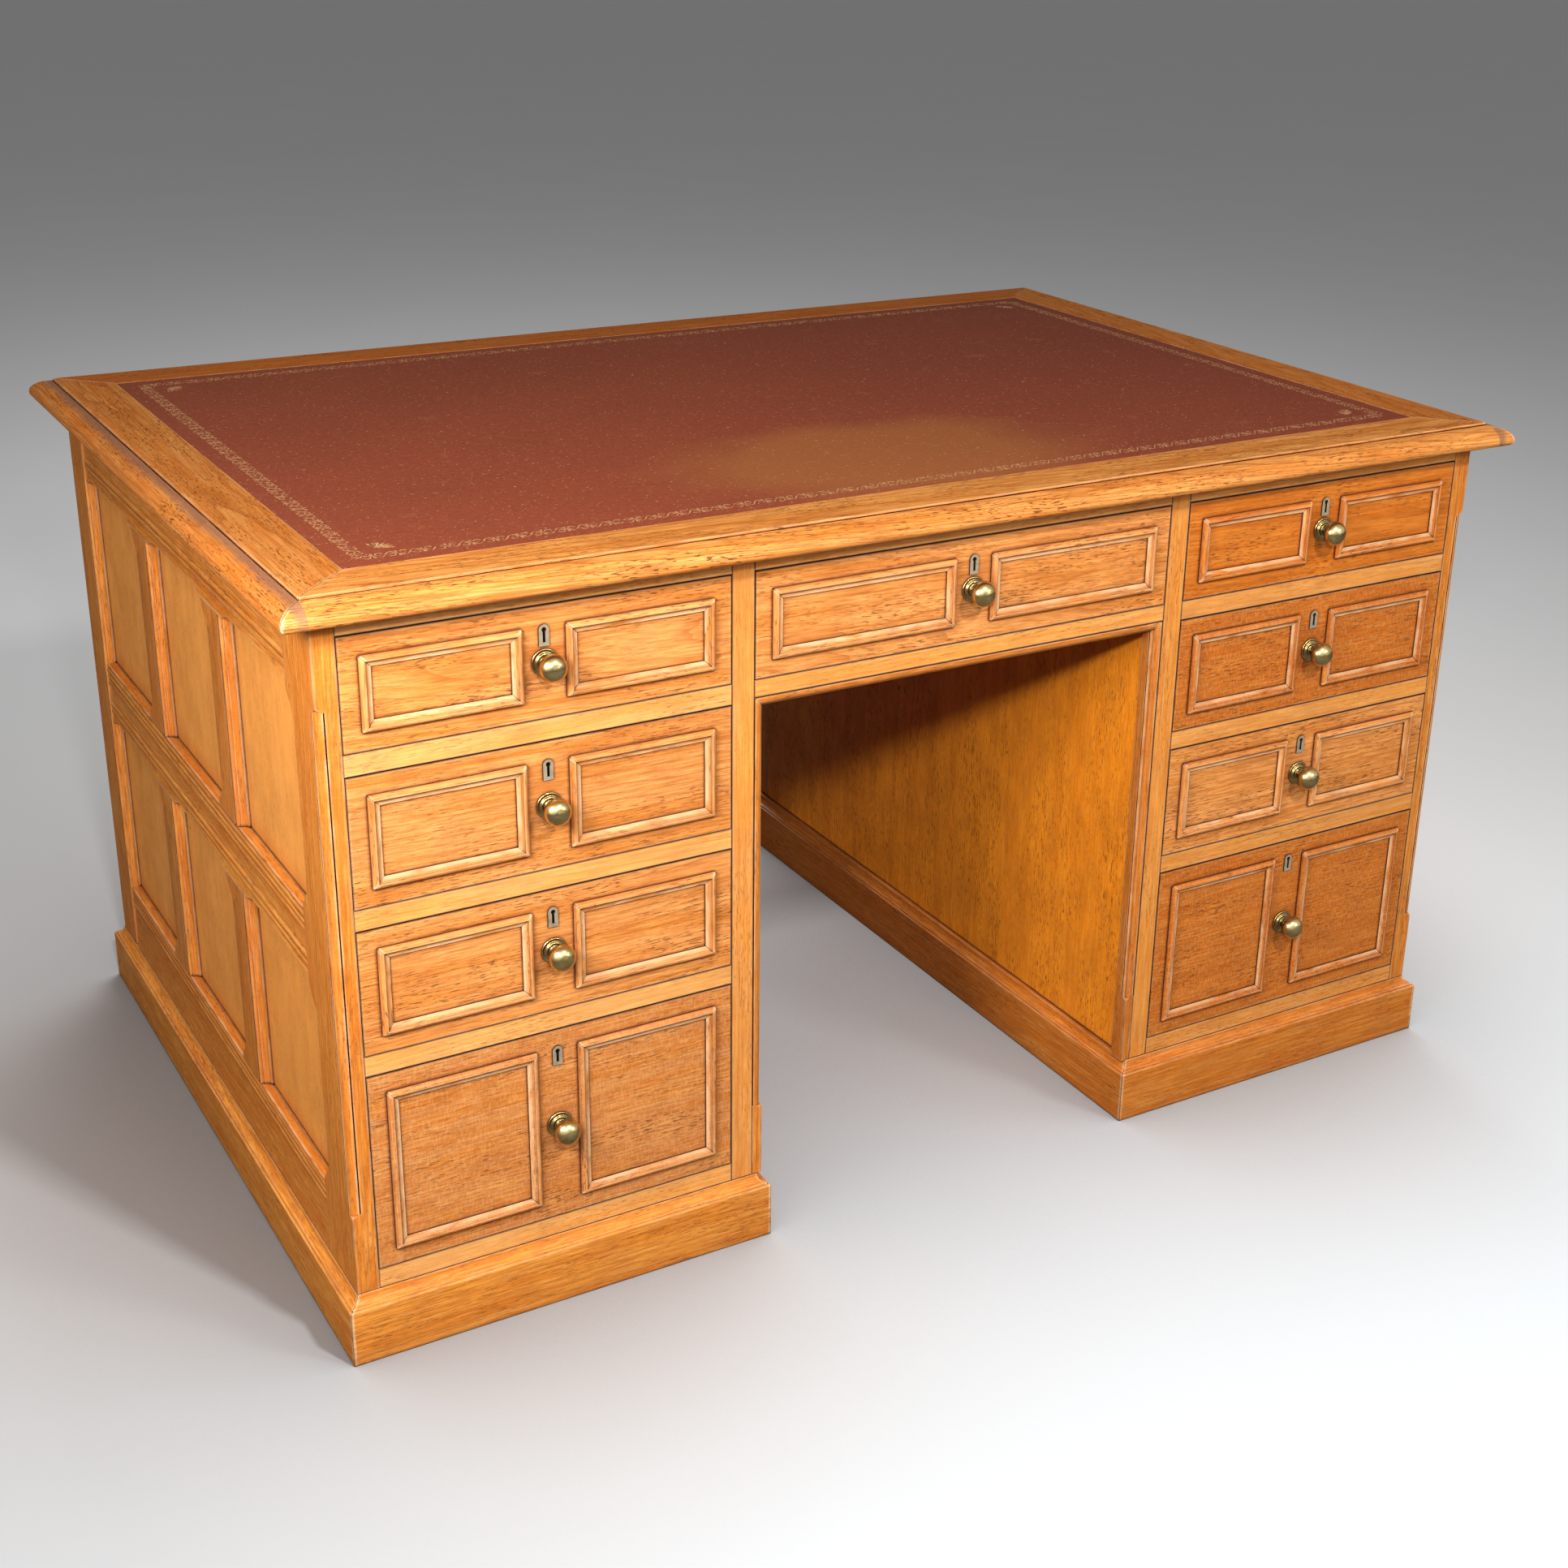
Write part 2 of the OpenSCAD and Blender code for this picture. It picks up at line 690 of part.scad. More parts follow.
// Keyhole with its slot, drawn flat and larger by room on every side
module keyhole(room) {
    circle(key_d / 2 + room);
    translate([-key_slot_w / 2 - room, -key_slot_l - room])
        square([key_slot_w + 2 * room, key_slot_l + room]);
}

function key_z(h) = front_hi(h) - plate_drop - plate_w / 2 - 1;
function knob_z(h) = h / 2;

module drawer_front(w, h) {
    x = w / 2 - gap_side;
    lo = front_lo();
    hi = front_hi(h);
    half = middle_gap / 2;
    difference() {
        block([-x, 0, lo], [x, front_t, hi]);
        // Sockets for the tails of both sides
        for (s = [0, 1]) mirror([s, 0, 0]) bar_x(x - side_t - glue, x + 1)
            tails(h, front_t, lap - front_t - glue, glue);
        // Groove for the bottom
        block([-x + side_t - bottom_groove, front_t - bottom_groove - glue, gap_run + bottom_up - glue],
            [x - side_t + bottom_groove, front_t + 1, gap_run + bottom_up + bottom_t + glue]);
        // Recess for the lock, open to the back, and the slot for its bolt
        block([-lock_w / 2 - glue, front_t - lock_t, hi - lock_h - glue],
            [lock_w / 2 + glue, front_t + 1, hi + 1]);
        translate([0, 0, key_z(h)]) bar_y(-1, front_t) keyhole(0.4);
        // Hole for the knob's spigot
        translate([0, 0, knob_z(h)]) rotate([-90, 0, 0]) translate([0, 0, -1])
            cylinder(h = front_t - 3, d = 8 + 2 * glue);
    }
    // Two mitred frames of moulding
    for (s = [0, 1]) mirror([s, 0, 0])
        planted_frame(half, x - margin_x, lo + margin_z - gap_low, hi - margin_z - 1);
}

module drawer_box(w, h) {
    x = w / 2 - gap_side;
    lo = gap_run;
    hi = side_hi(h);
    // Sides with tails at both ends and a groove for the bottom
    for (s = [0, 1]) mirror([s, 0, 0]) difference() {
        bar_x(x - side_t, x) {
            translate([front_t, lo]) square([drawer_l - front_t - side_t, hi - lo]);
            tails(h, front_t, lap - front_t, 0);
            tails(h, drawer_l - side_t, side_t, 0);
        }
        block([x - side_t - 1, 0, lo + bottom_up - glue],
            [x - side_t + bottom_groove, drawer_l + 1, lo + bottom_up + bottom_t + glue]);
    }
    // Back, over the bottom, with pins between the tails
    difference() {
        block([-x, drawer_l - side_t + glue, lo + bottom_up + bottom_t + glue],
            [x, drawer_l, hi - 3]);
        for (s = [0, 1]) mirror([s, 0, 0]) bar_x(x - side_t - glue, x + 1)
            tails(h, drawer_l - side_t - 1, side_t + 2, glue);
    }
    // Bottom in its grooves
    block([-x + side_t - bottom_groove + glue, front_t - bottom_groove, lo + bottom_up],
        [x - side_t + bottom_groove - glue, drawer_l, lo + bottom_up + bottom_t]);
}

// Turned knob on its ringed rose, with the axis along Y
module drawer_knob(h) {
    r = knob_d / 2;
    rr = rose_d / 2;
    flat = 0.9 * r;
    c = knob_out - flat * 0.86;
    translate([0, 0, knob_z(h)]) rotate([90, 0, 0]) {
        // Rose with two stepped rings
        rotate_extrude() polygon(concat([[0, 0], [rr, 0], [rr, 0.9]],
            arc([rr - 1.4, 0.9], 1.4, 1.1, 0, 90, 4), [[rr - 3, 2], [rr - 3, 2.6]],
            arc([rr - 4.6, 2.6], 1.6, 1.2, 0, 90, 4), [[0, 3.8]]));
        // Neck and ball
        translate([0, 0, 3.8 + glue]) rotate_extrude() polygon(concat([[0, 0], [6.6, 0]],
            arc([8.2, 2.6], 2.6, 2.6, 232, 180, 4), [[5.2, c - 3.8 - glue - 0.72 * r]],
            arc([0, c - 3.8 - glue], r, flat * 0.86, -38, 90, 14)));
        // Spigot in the front
        translate([0, 0, -front_t + 5]) cylinder(h = front_t - 5, d = 8);
    }
}

module drawer_lock(h) {
    hi = front_hi(h);
    // Escutcheon with a round top, on the face
    translate([0, 0, key_z(h)]) rotate([90, 0, 0]) translate([0, 0, glue]) linear_extrude(1.2)
        difference() {
            union() {
                circle(plate_w / 2);
                translate([-plate_w / 2, plate_w / 2 - plate_h]) square([plate_w, plate_h - plate_w / 2]);
            }
            keyhole(0);
        }
    // Case let into the back of the front, with a slot for the bolt
    difference() {
        block([-lock_w / 2, front_t - lock_t + glue, hi - lock_h], [lock_w / 2, front_t - 0.5, hi]);
        bolt_space(h);
        translate([0, 0, key_z(h)]) bar_y(0, front_t + 1) keyhole(0);
    }
}

// Room for the bolt in its case
module bolt_space(h) {
    hi = front_hi(h);
    block([-bolt_w / 2 - gap_bolt, front_t - lock_t + 2 - gap_bolt, hi - bolt_l - gap_bolt],
        [bolt_w / 2 + gap_bolt, front_t - lock_t + 2 + bolt_t + gap_bolt, hi + 1]);
}

module drawer_bolt(h) {
    hi = front_hi(h);
    block([-bolt_w / 2, front_t - lock_t + 2, hi - bolt_l],
        [bolt_w / 2, front_t - lock_t + 2 + bolt_t, hi - 0.2]);
}

// Places a drawer, with side -1, 0 or 1 and its row from the top
module place(side, row) {
    translate([side * column_mid, -body_y, opening_z[row]]) children();
}

function drawer_w(side) = side == 0 ? 2 * stile_x : column_w;

module part(side, row, kind) {
    w = drawer_w(side);
    h = opening_h[row];
    place(side, row) {
        if (kind == "front") color(oak_red) drawer_front(w, h);
        if (kind == "box") color(oak_light) drawer_box(w, h);
        if (kind == "knob") color(brass) drawer_knob(h);
        if (kind == "lock") color(brass) drawer_lock(h);
        if (kind == "bolt") color(steel) drawer_bolt(h);
    }
}

module left_1_front() { part(-1, 0, "front"); }
module left_1_box() { part(-1, 0, "box"); }
module left_1_knob() { part(-1, 0, "knob"); }
module left_1_lock() { part(-1, 0, "lock"); }
module left_1_bolt() { part(-1, 0, "bolt"); }
module left_2_front() { part(-1, 1, "front"); }
module left_2_box() { part(-1, 1, "box"); }
module left_2_knob() { part(-1, 1, "knob"); }
module left_2_lock() { part(-1, 1, "lock"); }
module left_2_bolt() { part(-1, 1, "bolt"); }
module left_3_front() { part(-1, 2, "front"); }
module left_3_box() { part(-1, 2, "box"); }
module left_3_knob() { part(-1, 2, "knob"); }
module left_3_lock() { part(-1, 2, "lock"); }
module left_3_bolt() { part(-1, 2, "bolt"); }
module left_4_front() { part(-1, 3, "front"); }
module left_4_box() { part(-1, 3, "box"); }
module left_4_knob() { part(-1, 3, "knob"); }
module left_4_lock() { part(-1, 3, "lock"); }
module left_4_bolt() { part(-1, 3, "bolt"); }
module centre_front() { part(0, 0, "front"); }
module centre_box() { part(0, 0, "box"); }
module centre_knob() { part(0, 0, "knob"); }
module centre_lock() { part(0, 0, "lock"); }
module centre_bolt() { part(0, 0, "bolt"); }
module right_1_front() { part(1, 0, "front"); }
module right_1_box() { part(1, 0, "box"); }
module right_1_knob() { part(1, 0, "knob"); }
module right_1_lock() { part(1, 0, "lock"); }
module right_1_bolt() { part(1, 0, "bolt"); }
module right_2_front() { part(1, 1, "front"); }
module right_2_box() { part(1, 1, "box"); }
module right_2_knob() { part(1, 1, "knob"); }
module right_2_lock() { part(1, 1, "lock"); }
module right_2_bolt() { part(1, 1, "bolt"); }
module right_3_front() { part(1, 2, "front"); }
module right_3_box() { part(1, 2, "box"); }
module right_3_knob() { part(1, 2, "knob"); }
module right_3_lock() { part(1, 2, "lock"); }
module right_3_bolt() { part(1, 2, "bolt"); }
module right_4_front() { part(1, 3, "front"); }
module right_4_box() { part(1, 3, "box"); }
module right_4_knob() { part(1, 3, "knob"); }
module right_4_lock() { part(1, 3, "lock"); }
module right_4_bolt() { part(1, 3, "bolt"); }

top_border();
top_panel();
leather();
top_moulding();
left_side_frame();
right_side_frame();
side_panels();
front_frame();
kneehole_bead();
inner_sides();
back_frame();
back_panels();
plinths();
runners();
bottom_boards();
left_1_front();
left_1_box();
left_1_knob();
left_1_lock();
left_1_bolt();
left_2_front();
left_2_box();
left_2_knob();
left_2_lock();
left_2_bolt();
left_3_front();
left_3_box();
left_3_knob();
left_3_lock();
left_3_bolt();
left_4_front();
left_4_box();
left_4_knob();
left_4_lock();
left_4_bolt();
centre_front();
centre_box();
centre_knob();
centre_lock();
centre_bolt();
right_1_front();
right_1_box();
right_1_knob();
right_1_lock();
right_1_bolt();
right_2_front();
right_2_box();
right_2_knob();
right_2_lock();
right_2_bolt();
right_3_front();
right_3_box();
right_3_knob();
right_3_lock();
right_3_bolt();
right_4_front();
right_4_box();
right_4_knob();
right_4_lock();
right_4_bolt();
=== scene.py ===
"""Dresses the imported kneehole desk: waxed oak, a tooled hide, aged brass and iron.

Every length is in metres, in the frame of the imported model: X to the right, Y to the back and Z up.
"""

import logging
import math
import zlib
from collections.abc import Iterable
from dataclasses import dataclass
from enum import Enum
from functools import cache
from typing import Any

import bmesh
import bpy
import numpy as np
from bpy.types import Collection, Material, Mesh, Node, NodeSocket, NodeTree, Object
from mathutils import Matrix, Vector


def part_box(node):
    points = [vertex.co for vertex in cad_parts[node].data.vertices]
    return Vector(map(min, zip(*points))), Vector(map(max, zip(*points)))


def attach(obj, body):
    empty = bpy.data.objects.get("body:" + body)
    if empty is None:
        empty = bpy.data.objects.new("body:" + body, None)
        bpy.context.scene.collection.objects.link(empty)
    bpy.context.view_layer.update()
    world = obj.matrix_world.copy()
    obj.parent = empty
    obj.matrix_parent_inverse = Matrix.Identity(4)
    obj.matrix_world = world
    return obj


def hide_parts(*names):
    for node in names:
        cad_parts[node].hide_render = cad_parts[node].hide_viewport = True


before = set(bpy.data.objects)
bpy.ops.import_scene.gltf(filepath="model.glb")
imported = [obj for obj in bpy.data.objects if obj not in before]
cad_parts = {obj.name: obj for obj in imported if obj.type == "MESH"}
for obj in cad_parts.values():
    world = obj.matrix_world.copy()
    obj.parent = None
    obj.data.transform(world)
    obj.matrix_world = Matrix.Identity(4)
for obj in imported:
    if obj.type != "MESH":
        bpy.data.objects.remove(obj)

LOG = logging.getLogger("desk")
MM = 0.001
CARCASS = "carcass"
# How far a drawer's planted mouldings stand out beyond its face
PROUD = 5.1 * MM
# A board whose second side is below this is a slim moulding
SLIM = 14 * MM
# Width and height of the photograph in pixels
PHOTO_SIDE = 1932
Place = tuple[float, float, float]


class Axis(Enum):
    """The way that the grain of a board runs."""

    LONGEST = -1
    ACROSS = 0
    DEEP = 1
    UPRIGHT = 2


class Cut(Enum):
    """How a board was sawn: how far its edge and its face lie from the pith, its tilt and its flecks."""

    FLAT = (0.02, 0.07, 0.045, 0.0)
    RIFT = (0.10, 0.09, 0.015, 0.25)
    QUARTER = (0.22, 0.012, 0.006, 1.0)


def linear(code: str) -> tuple[float, float, float, float]:
    """Turns an sRGB hex colour to linear.

    Args:
        code: the colour, such as "#c98a3f".
    Returns:
        Linear red, green, blue and an alpha of one.
    """
    parts = [int(code[i : i + 2], 16) / 255 for i in (1, 3, 5)]
    red, green, blue = (c / 12.92 if c <= 0.04045 else ((c + 0.055) / 1.055) ** 2.4 for c in parts)
    return red, green, blue, 1.0


def seeded(name: str) -> np.random.Generator:
    """Gives the random draws of a piece, the same in every run."""
    return np.random.default_rng(zlib.crc32(name.encode()))


def add_node(tree: NodeTree, kind: str, inputs: dict | None = None, **settings: Any) -> Node:
    """Adds one shader node.

    Args:
        tree: the material's node tree.
        kind: the node's type without its "ShaderNode".
        inputs: by socket name or number, a node whose first live output is linked, a socket, or a value.
        settings: the node's own properties, and stops for a colour ramp as pairs of place and hex colour.
    Returns:
        The new node.
    """
    node = tree.nodes.new("ShaderNode" + kind)
    stops = settings.pop("stops", ())
    for name, value in settings.items():
        setattr(node, name, value)
    if stops:
        ramp = node.color_ramp.elements
        while len(ramp) < len(stops):
            ramp.new(0.5)
        for element, (place, code) in zip(ramp, stops):
            element.position = place
            element.color = linear(code)
    for key, value in (inputs or {}).items():
        if isinstance(value, Node):
            value = next(o for o in value.outputs if o.enabled)
        if isinstance(value, NodeSocket):
            tree.links.new(value, node.inputs[key])
        elif isinstance(value, str):
            node.inputs[key].default_value = linear(value)
        else:
            node.inputs[key].default_value = value
    return node


def new_material(name: str) -> tuple[Material, NodeTree]:
    """Makes an empty material with an output node.

    Args:
        name: the material's name.
    Returns:
        The material and its node tree.
    """
    material = bpy.data.materials.new(name)
    material.use_nodes = True
    material.node_tree.nodes.clear()
    return material, material.node_tree


def finish_material(tree: NodeTree, inputs: dict) -> None:
    """Adds the surface shader with its inputs, and the output."""
    shader = add_node(tree, "BsdfPrincipled", inputs)
    add_node(tree, "OutputMaterial", {"Surface": shader})


def lay_over(tree: NodeTree, base: Node | str, layers: Iterable[tuple[Any, float, str]]) -> Node:
    """Lays colours over a base, one after another.

    Args:
        tree: the material's node tree.
        base: the colour below them.
        layers: for each, the mark that says where it lies, its greatest share and its colour.
    Returns:
        The node of the last colour.
    """
    for mark, share, colour in layers:
        part = add_node(tree, "Math", {0: mark, 1: share}, operation="MULTIPLY")
        base = add_node(tree, "Mix", {0: part, 6: base, 7: colour}, data_type="RGBA")
    return base


def add_up(tree: NodeTree, base: float, marks: Iterable[tuple[Any, float]]) -> Node:
    """Adds each mark, times its share, to a value.

    Args:
        tree: the material's node tree.
        base: the value.
        marks: for each, the mark and its share.
    Returns:
        The node of the sum.
    """
    for mark, share in marks:
        base = add_node(tree, "Math", {0: mark, 1: share, 2: base}, operation="MULTIPLY_ADD")
    return base


def patches(
    tree: NodeTree, where: Any, scale: float, band: tuple[float, float], detail: float, rough: float = 0.5
) -> Node:
    """Patches of noise, which fade in between the two values of the band.

    Args:
        tree: the material's node tree.
        where: the place, as a node or a socket.
        scale, detail, rough: of the noise.
        band: the values of the noise at which a patch starts and is full.
    Returns:
        A node that gives from zero to one.
    """
    noise = add_node(tree, "TexNoise", {"Vector": where, "Scale": scale, "Detail": detail, "Roughness": rough})
    return add_node(tree, "MapRange", {"Value": noise, "From Min": band[0], "From Max": band[1]})


@dataclass(frozen=True)
class WaxedOak:
    """European oak, planed, stained and waxed for a century.

    Oak is ring porous: each year starts with a band of open pores that take the dark wax. Where it is
    sawn on the quarter, its rays show as pale flecks across the grain. The stain lies in honey and deep
    orange streaks, the wax leaves a low sheen, and handling rubs the arrises pale, where a painted highlight
    lies as well. Dark wax and painted shade lie in recesses, along each board's edges and beside mouldings.

    Attributes:
        name: the material's name.
        honey, tan: the colour of the wood at tone 0 and at tone 1.
        flare, ring, pore, ray, wax, joint_and_shade, rubbed, cream, polish_and_shade, sleeve: colours of the
        stain's streaks, year rings, pores, rays, old wax with painted shade in recesses, dark joints with
        painted shade along each board's edges, worn edges with a painted highlight, pale streaks, the old
        polish in mottles and, with painted shade, beside a moulding, and the grey band where sleeves rub.
        ring_width: mean width of a year ring.
        thread: length and width of a line of the grain.
        tick: length and width of an open pore, about four times as wide as the real one, so that it shows.
        flare_share, cream_share, mottle_share, ring_share, thread_share, tick_share, ray_share,
        polish_and_shade_share, wax_and_shade_share, wear_and_highlight_share, seam_and_shade_share,
        sleeve_share: how strong each of them is.
        roughness: of the waxed face.
        plank: width of the boards that a wide face is glued from, or zero.
        band_from: where the sleeves' band starts, as the distance to either side of the middle, or zero.
        polish_and_shade_reach, polish_and_shade_band: how far from a moulding the old polish and painted shade
        lie, and between which openness.
    """

    name: str
    honey: str = "#f0a347"
    tan: str = "#cc7c38"
    flare: str = "#cf7417"
    ring: str = "#a8581b"
    pore: str = "#5c2a0c"
    ray: str = "#fbd08c"
    wax: str = "#32140a"
    joint_and_shade: str = "#2c0e02"
    rubbed: str = "#ffdcae"
    cream: str = "#ffc070"
    polish_and_shade: str = "#8a4526"
    sleeve: str = "#85604c"
    ring_width: float = 4.6 * MM
    thread: tuple[float, float] = (26 * MM, 1.9 * MM)
    tick: tuple[float, float] = (10 * MM, 1.5 * MM)
    flare_share: float = 0.6
    cream_share: float = 0.25
    mottle_share: float = 0.22
    ring_share: float = 0.55
    thread_share: float = 0.6
    tick_share: float = 0.7
    ray_share: float = 0.14
    polish_and_shade_share: float = 0.4
    wax_and_shade_share: float = 0.97
    wear_and_highlight_share: float = 0.55
    seam_and_shade_share: float = 0.68
    sleeve_share: float = 0.72
    roughness: float = 0.38
    plank: float = 0.0
    band_from: float = 0.0
    polish_and_shade_reach: float = 24 * MM
    polish_and_shade_band: tuple[float, float] = (0.70, 0.99)

    def rings(self, tree: NodeTree, place: Node) -> Node:
        """Early wood of each year: the distance from the pith, bent by slow noise, in widths of a ring.

        Args:
            tree: the material's node tree.
            place: the place in the oak, along the grain first.
        Returns:
            A node that gives from zero to one.
        """
        slow = add_node(tree, "VectorMath", {0: place, 1: (2.2, 16.0, 16.0)}, operation="MULTIPLY")
        bends = add_node(tree, "TexNoise", {"Vector": slow, "Scale": 1.0, "Detail": 3.0, "Roughness": 0.6})
        sway = {0: bends.outputs["Color"], 1: (0.0, 20 * MM, 20 * MM), 2: place}
        offset = add_node(tree, "VectorMath", sway, operation="MULTIPLY_ADD")
        radial = add_node(tree, "VectorMath", {0: offset, 1: (0.0, 1.0, 1.0)}, operation="MULTIPLY")
        distance = add_node(tree, "VectorMath", {0: radial}, operation="LENGTH").outputs["Value"]
        years = add_node(tree, "Math", {0: distance, 1: self.ring_width}, operation="DIVIDE")
        phase = add_node(tree, "Math", {0: years}, operation="FRACT")
        early = ((0.0, "#ffffff"), (0.10, "#c8c8c8"), (0.26, "#585858"), (0.6, "#000000"), (0.97, "#404040"))
        return add_node(tree, "ValToRGB", {"Fac": phase}, stops=early)

    def streaks(
        self, tree: NodeTree, place: Node, size: tuple[float, float], band: tuple[float, float], detail: float
    ) -> Node:
        """Marks along the grain: patches of noise stretched to size, length by width.

        Args:
            tree: the material's node tree.
            place: the place in the oak, along the grain first.
            size: length and width of a mark.
            band: the values of the noise at which a mark starts and is full.
            detail: of the noise.
        Returns:
            A node that gives from zero to one.
        """
        scale = (1 / size[0], 1 / size[1], 1 / size[1])
        fine = add_node(tree, "VectorMath", {0: place, 1: scale}, operation="MULTIPLY")
        return patches(tree, fine, 1.0, band, detail, 0.55)

    def worm_holes(self, tree: NodeTree, place: Node) -> Node:
        """A flight hole of 2 mm in some cells of 60 mm, by its distance to the cell's point.

        Args:
            tree: the material's node tree.
            place: the place in the oak, along the grain first.
        Returns:
            A node that gives one in a hole.
        """
        cells = add_node(tree, "TexVoronoi", {"Vector": place, "Scale": 1 / (60 * MM), "Randomness": 1.0})
        hole = add_node(tree, "MapRange", {"Value": cells, "From Min": 0.032, "From Max": 0.018})
        few = add_node(tree, "SeparateColor", {"Color": cells.outputs["Color"]})
        chosen = add_node(tree, "Math", {0: few.outputs["Red"], 1: 0.65}, operation="GREATER_THAN")
        return add_node(tree, "Math", {0: hole, 1: chosen}, operation="MULTIPLY")

    def planks(self, tree: NodeTree, place: Node) -> tuple[Node, Node]:
        """Cuts a wide face into boards: the whole number of widths across gives each a shift and a tone.

        Args:
            tree: the material's node tree.
            place: the place in the oak, along the grain first.
        Returns:
            The shifted place, and a random value for each board.
        """
        across = add_node(tree, "SeparateXYZ", {0: place})
        board = add_node(tree, "Math", {0: across.outputs["Y"], 1: self.plank}, operation="DIVIDE")
        board = add_node(tree, "Math", {0: board}, operation="FLOOR")
        random = add_node(tree, "TexWhiteNoise", {"W": board}, noise_dimensions="1D").outputs["Value"]
        shift = add_node(tree, "CombineXYZ", {0: random})
        return add_node(tree, "VectorMath", {0: place, 1: shift}, operation="ADD"), random

    def seam(self, tree: NodeTree) -> Node:
        """Finds a board's edges, for dark joints and painted shade in the gaps: of the three distances to its box's
        sides, the middle one is short there.

        Args:
            tree: the material's node tree.
        Returns:
            A node that gives one at an edge.
        """
        where = add_node(tree, "TexCoord").outputs["Object"]
        middle = add_node(tree, "Attribute", attribute_name="middle").outputs["Vector"]
        half = add_node(tree, "Attribute", attribute_name="half").outputs["Vector"]
        away = add_node(tree, "VectorMath", {0: where, 1: middle}, operation="SUBTRACT")
        away = add_node(tree, "VectorMath", {0: away}, operation="ABSOLUTE")
        away = add_node(tree, "VectorMath", {0: half, 1: away}, operation="SUBTRACT")
        sides = add_node(tree, "SeparateXYZ", {0: away}).outputs
        less = add_node(tree, "Math", {0: sides["X"], 1: sides["Y"]}, operation="MINIMUM")
        more = add_node(tree, "Math", {0: sides["X"], 1: sides["Y"]}, operation="MAXIMUM")
        more = add_node(tree, "Math", {0: more, 1: sides["Z"]}, operation="MINIMUM")
        second = add_node(tree, "Math", {0: less, 1: more}, operation="MAXIMUM")
        return add_node(tree, "MapRange", {"Value": second, "From Min": 1.5 * MM, "From Max": 0.5 * MM})

    def band(self, tree: NodeTree, place: Node) -> Node:
        """A band of 13 mm beyond a distance to either side, where sleeves rub, with a ragged outer edge.

        Args:
            tree: the material's node tree.
            place: the place in the oak, along the grain first.
        Returns:
            A node that gives from zero to one.
        """
        where = add_node(tree, "TexCoord").outputs["Object"]
        side = add_node(tree, "VectorMath", {0: where}, operation="ABSOLUTE")
        side = add_node(tree, "SeparateXYZ", {0: side}).outputs["X"]
        ragged = add_node(tree, "TexNoise", {"Vector": where, "Scale": 45.0, "Detail": 4.0, "Roughness": 0.7})
        edge = add_node(tree, "Math", {0: ragged, 1: 14 * MM, 2: side}, operation="MULTIPLY_ADD")
        ends = {"Value": edge, "From Min": self.band_from + 21 * MM, "From Max": self.band_from + 13 * MM}
        inner = add_node(tree, "MapRange", ends)
        beyond = add_node(tree, "Math", {0: side, 1: self.band_from}, operation="GREATER_THAN")
        broken = self.streaks(tree, place, (120 * MM, 20 * MM), (0.26, 0.46), 1.5)
        band = add_node(tree, "Math", {0: inner, 1: beyond}, operation="MULTIPLY")
        return add_node(tree, "Math", {0: band, 1: broken}, operation="MULTIPLY")

    def hollow(self, tree: NodeTree, reach: float, band: tuple[float, float], inside: bool) -> Node:
        """Finds recesses, or arrises if inside, by how much of the half sphere of a radius is covered.

        Args:
            tree: the material's node tree.
            reach: the radius.
            band: the openness at which a recess is full, and at which it ends.
            inside: whether the half sphere lies in the wood.
        Returns:
            A node that gives from zero to one.
        """
        seen = add_node(tree, "AmbientOcclusion", {"Distance": reach}, samples=6, inside=inside, only_local=inside)
        fade = {"Value": seen.outputs["AO"], "From Min": band[1], "From Max": band[0]}
        return add_node(tree, "MapRange", fade)

    def material(self) -> Material:
        """Builds the material.

        Returns:
            A material that reads each board's place in its tree, its tone and its flecks from the mesh.
        """
        material, tree = new_material(self.name)
        place = add_node(tree, "Attribute", attribute_name="place").outputs["Vector"]
        tone = add_node(tree, "Attribute", attribute_name="tone").outputs["Fac"]
        quartered = add_node(tree, "Attribute", attribute_name="fleck").outputs["Fac"]
        if self.plank:
            place, shade = self.planks(tree, place)
            tone = add_node(tree, "Math", {0: shade, 1: 0.5, 2: tone}, operation="MULTIPLY_ADD")
        # Length and width of each kind of mark, the values of the noise that it fades in between, its detail
        kinds = (
            ((240 * MM, 16 * MM), (0.42, 0.62), 2.5),
            ((75 * MM, 4 * MM), (0.46, 0.66), 3.0),
            (self.thread, (0.40, 0.68), 3.0),
            ((130 * MM, 28 * MM), (0.38, 0.62), 1.5),
            (self.tick, (0.57, 0.65), 1.5),
            ((50 * MM, 30 * MM), (0.38, 0.68), 3.0),
            ((1.9 * MM, 7 * MM), (0.46, 0.64), 2.5),
            ((30 * MM, 12 * MM), (0.28, 0.58), 1.5),
        )
        marks = (self.streaks(tree, place, *kind) for kind in kinds)
        flares, creams, threads, crowd, ticks, mottle, flecks, handled = marks
        flecks = add_node(tree, "Math", {0: flecks, 1: quartered}, operation="MULTIPLY")
        # The pores come in crowds, with few between them
        crowd = add_node(tree, "Math", {0: crowd, 1: 0.85, 2: 0.15}, operation="MULTIPLY_ADD")
        ticks = add_node(tree, "Math", {0: ticks, 1: crowd}, operation="MULTIPLY")
        holes = self.worm_holes(tree, place)
        # Pale worn arrises, with a painted highlight laid along each edge
        arris = self.hollow(tree, 2.6 * MM, (0.40, 0.95), True)
        worn = add_node(tree, "Math", {0: arris, 1: handled}, operation="MULTIPLY")

        layers = [
            (flares, self.flare_share, self.flare),
            (creams, self.cream_share, self.cream),
            (mottle, self.mottle_share, self.polish_and_shade),
            (self.rings(tree, place), self.ring_share, self.ring),
            (threads, self.thread_share, self.ring),
            (flecks, self.ray_share, self.ray),
            (ticks, self.tick_share, self.pore),
            (worn, self.wear_and_highlight_share, self.rubbed),
        ]
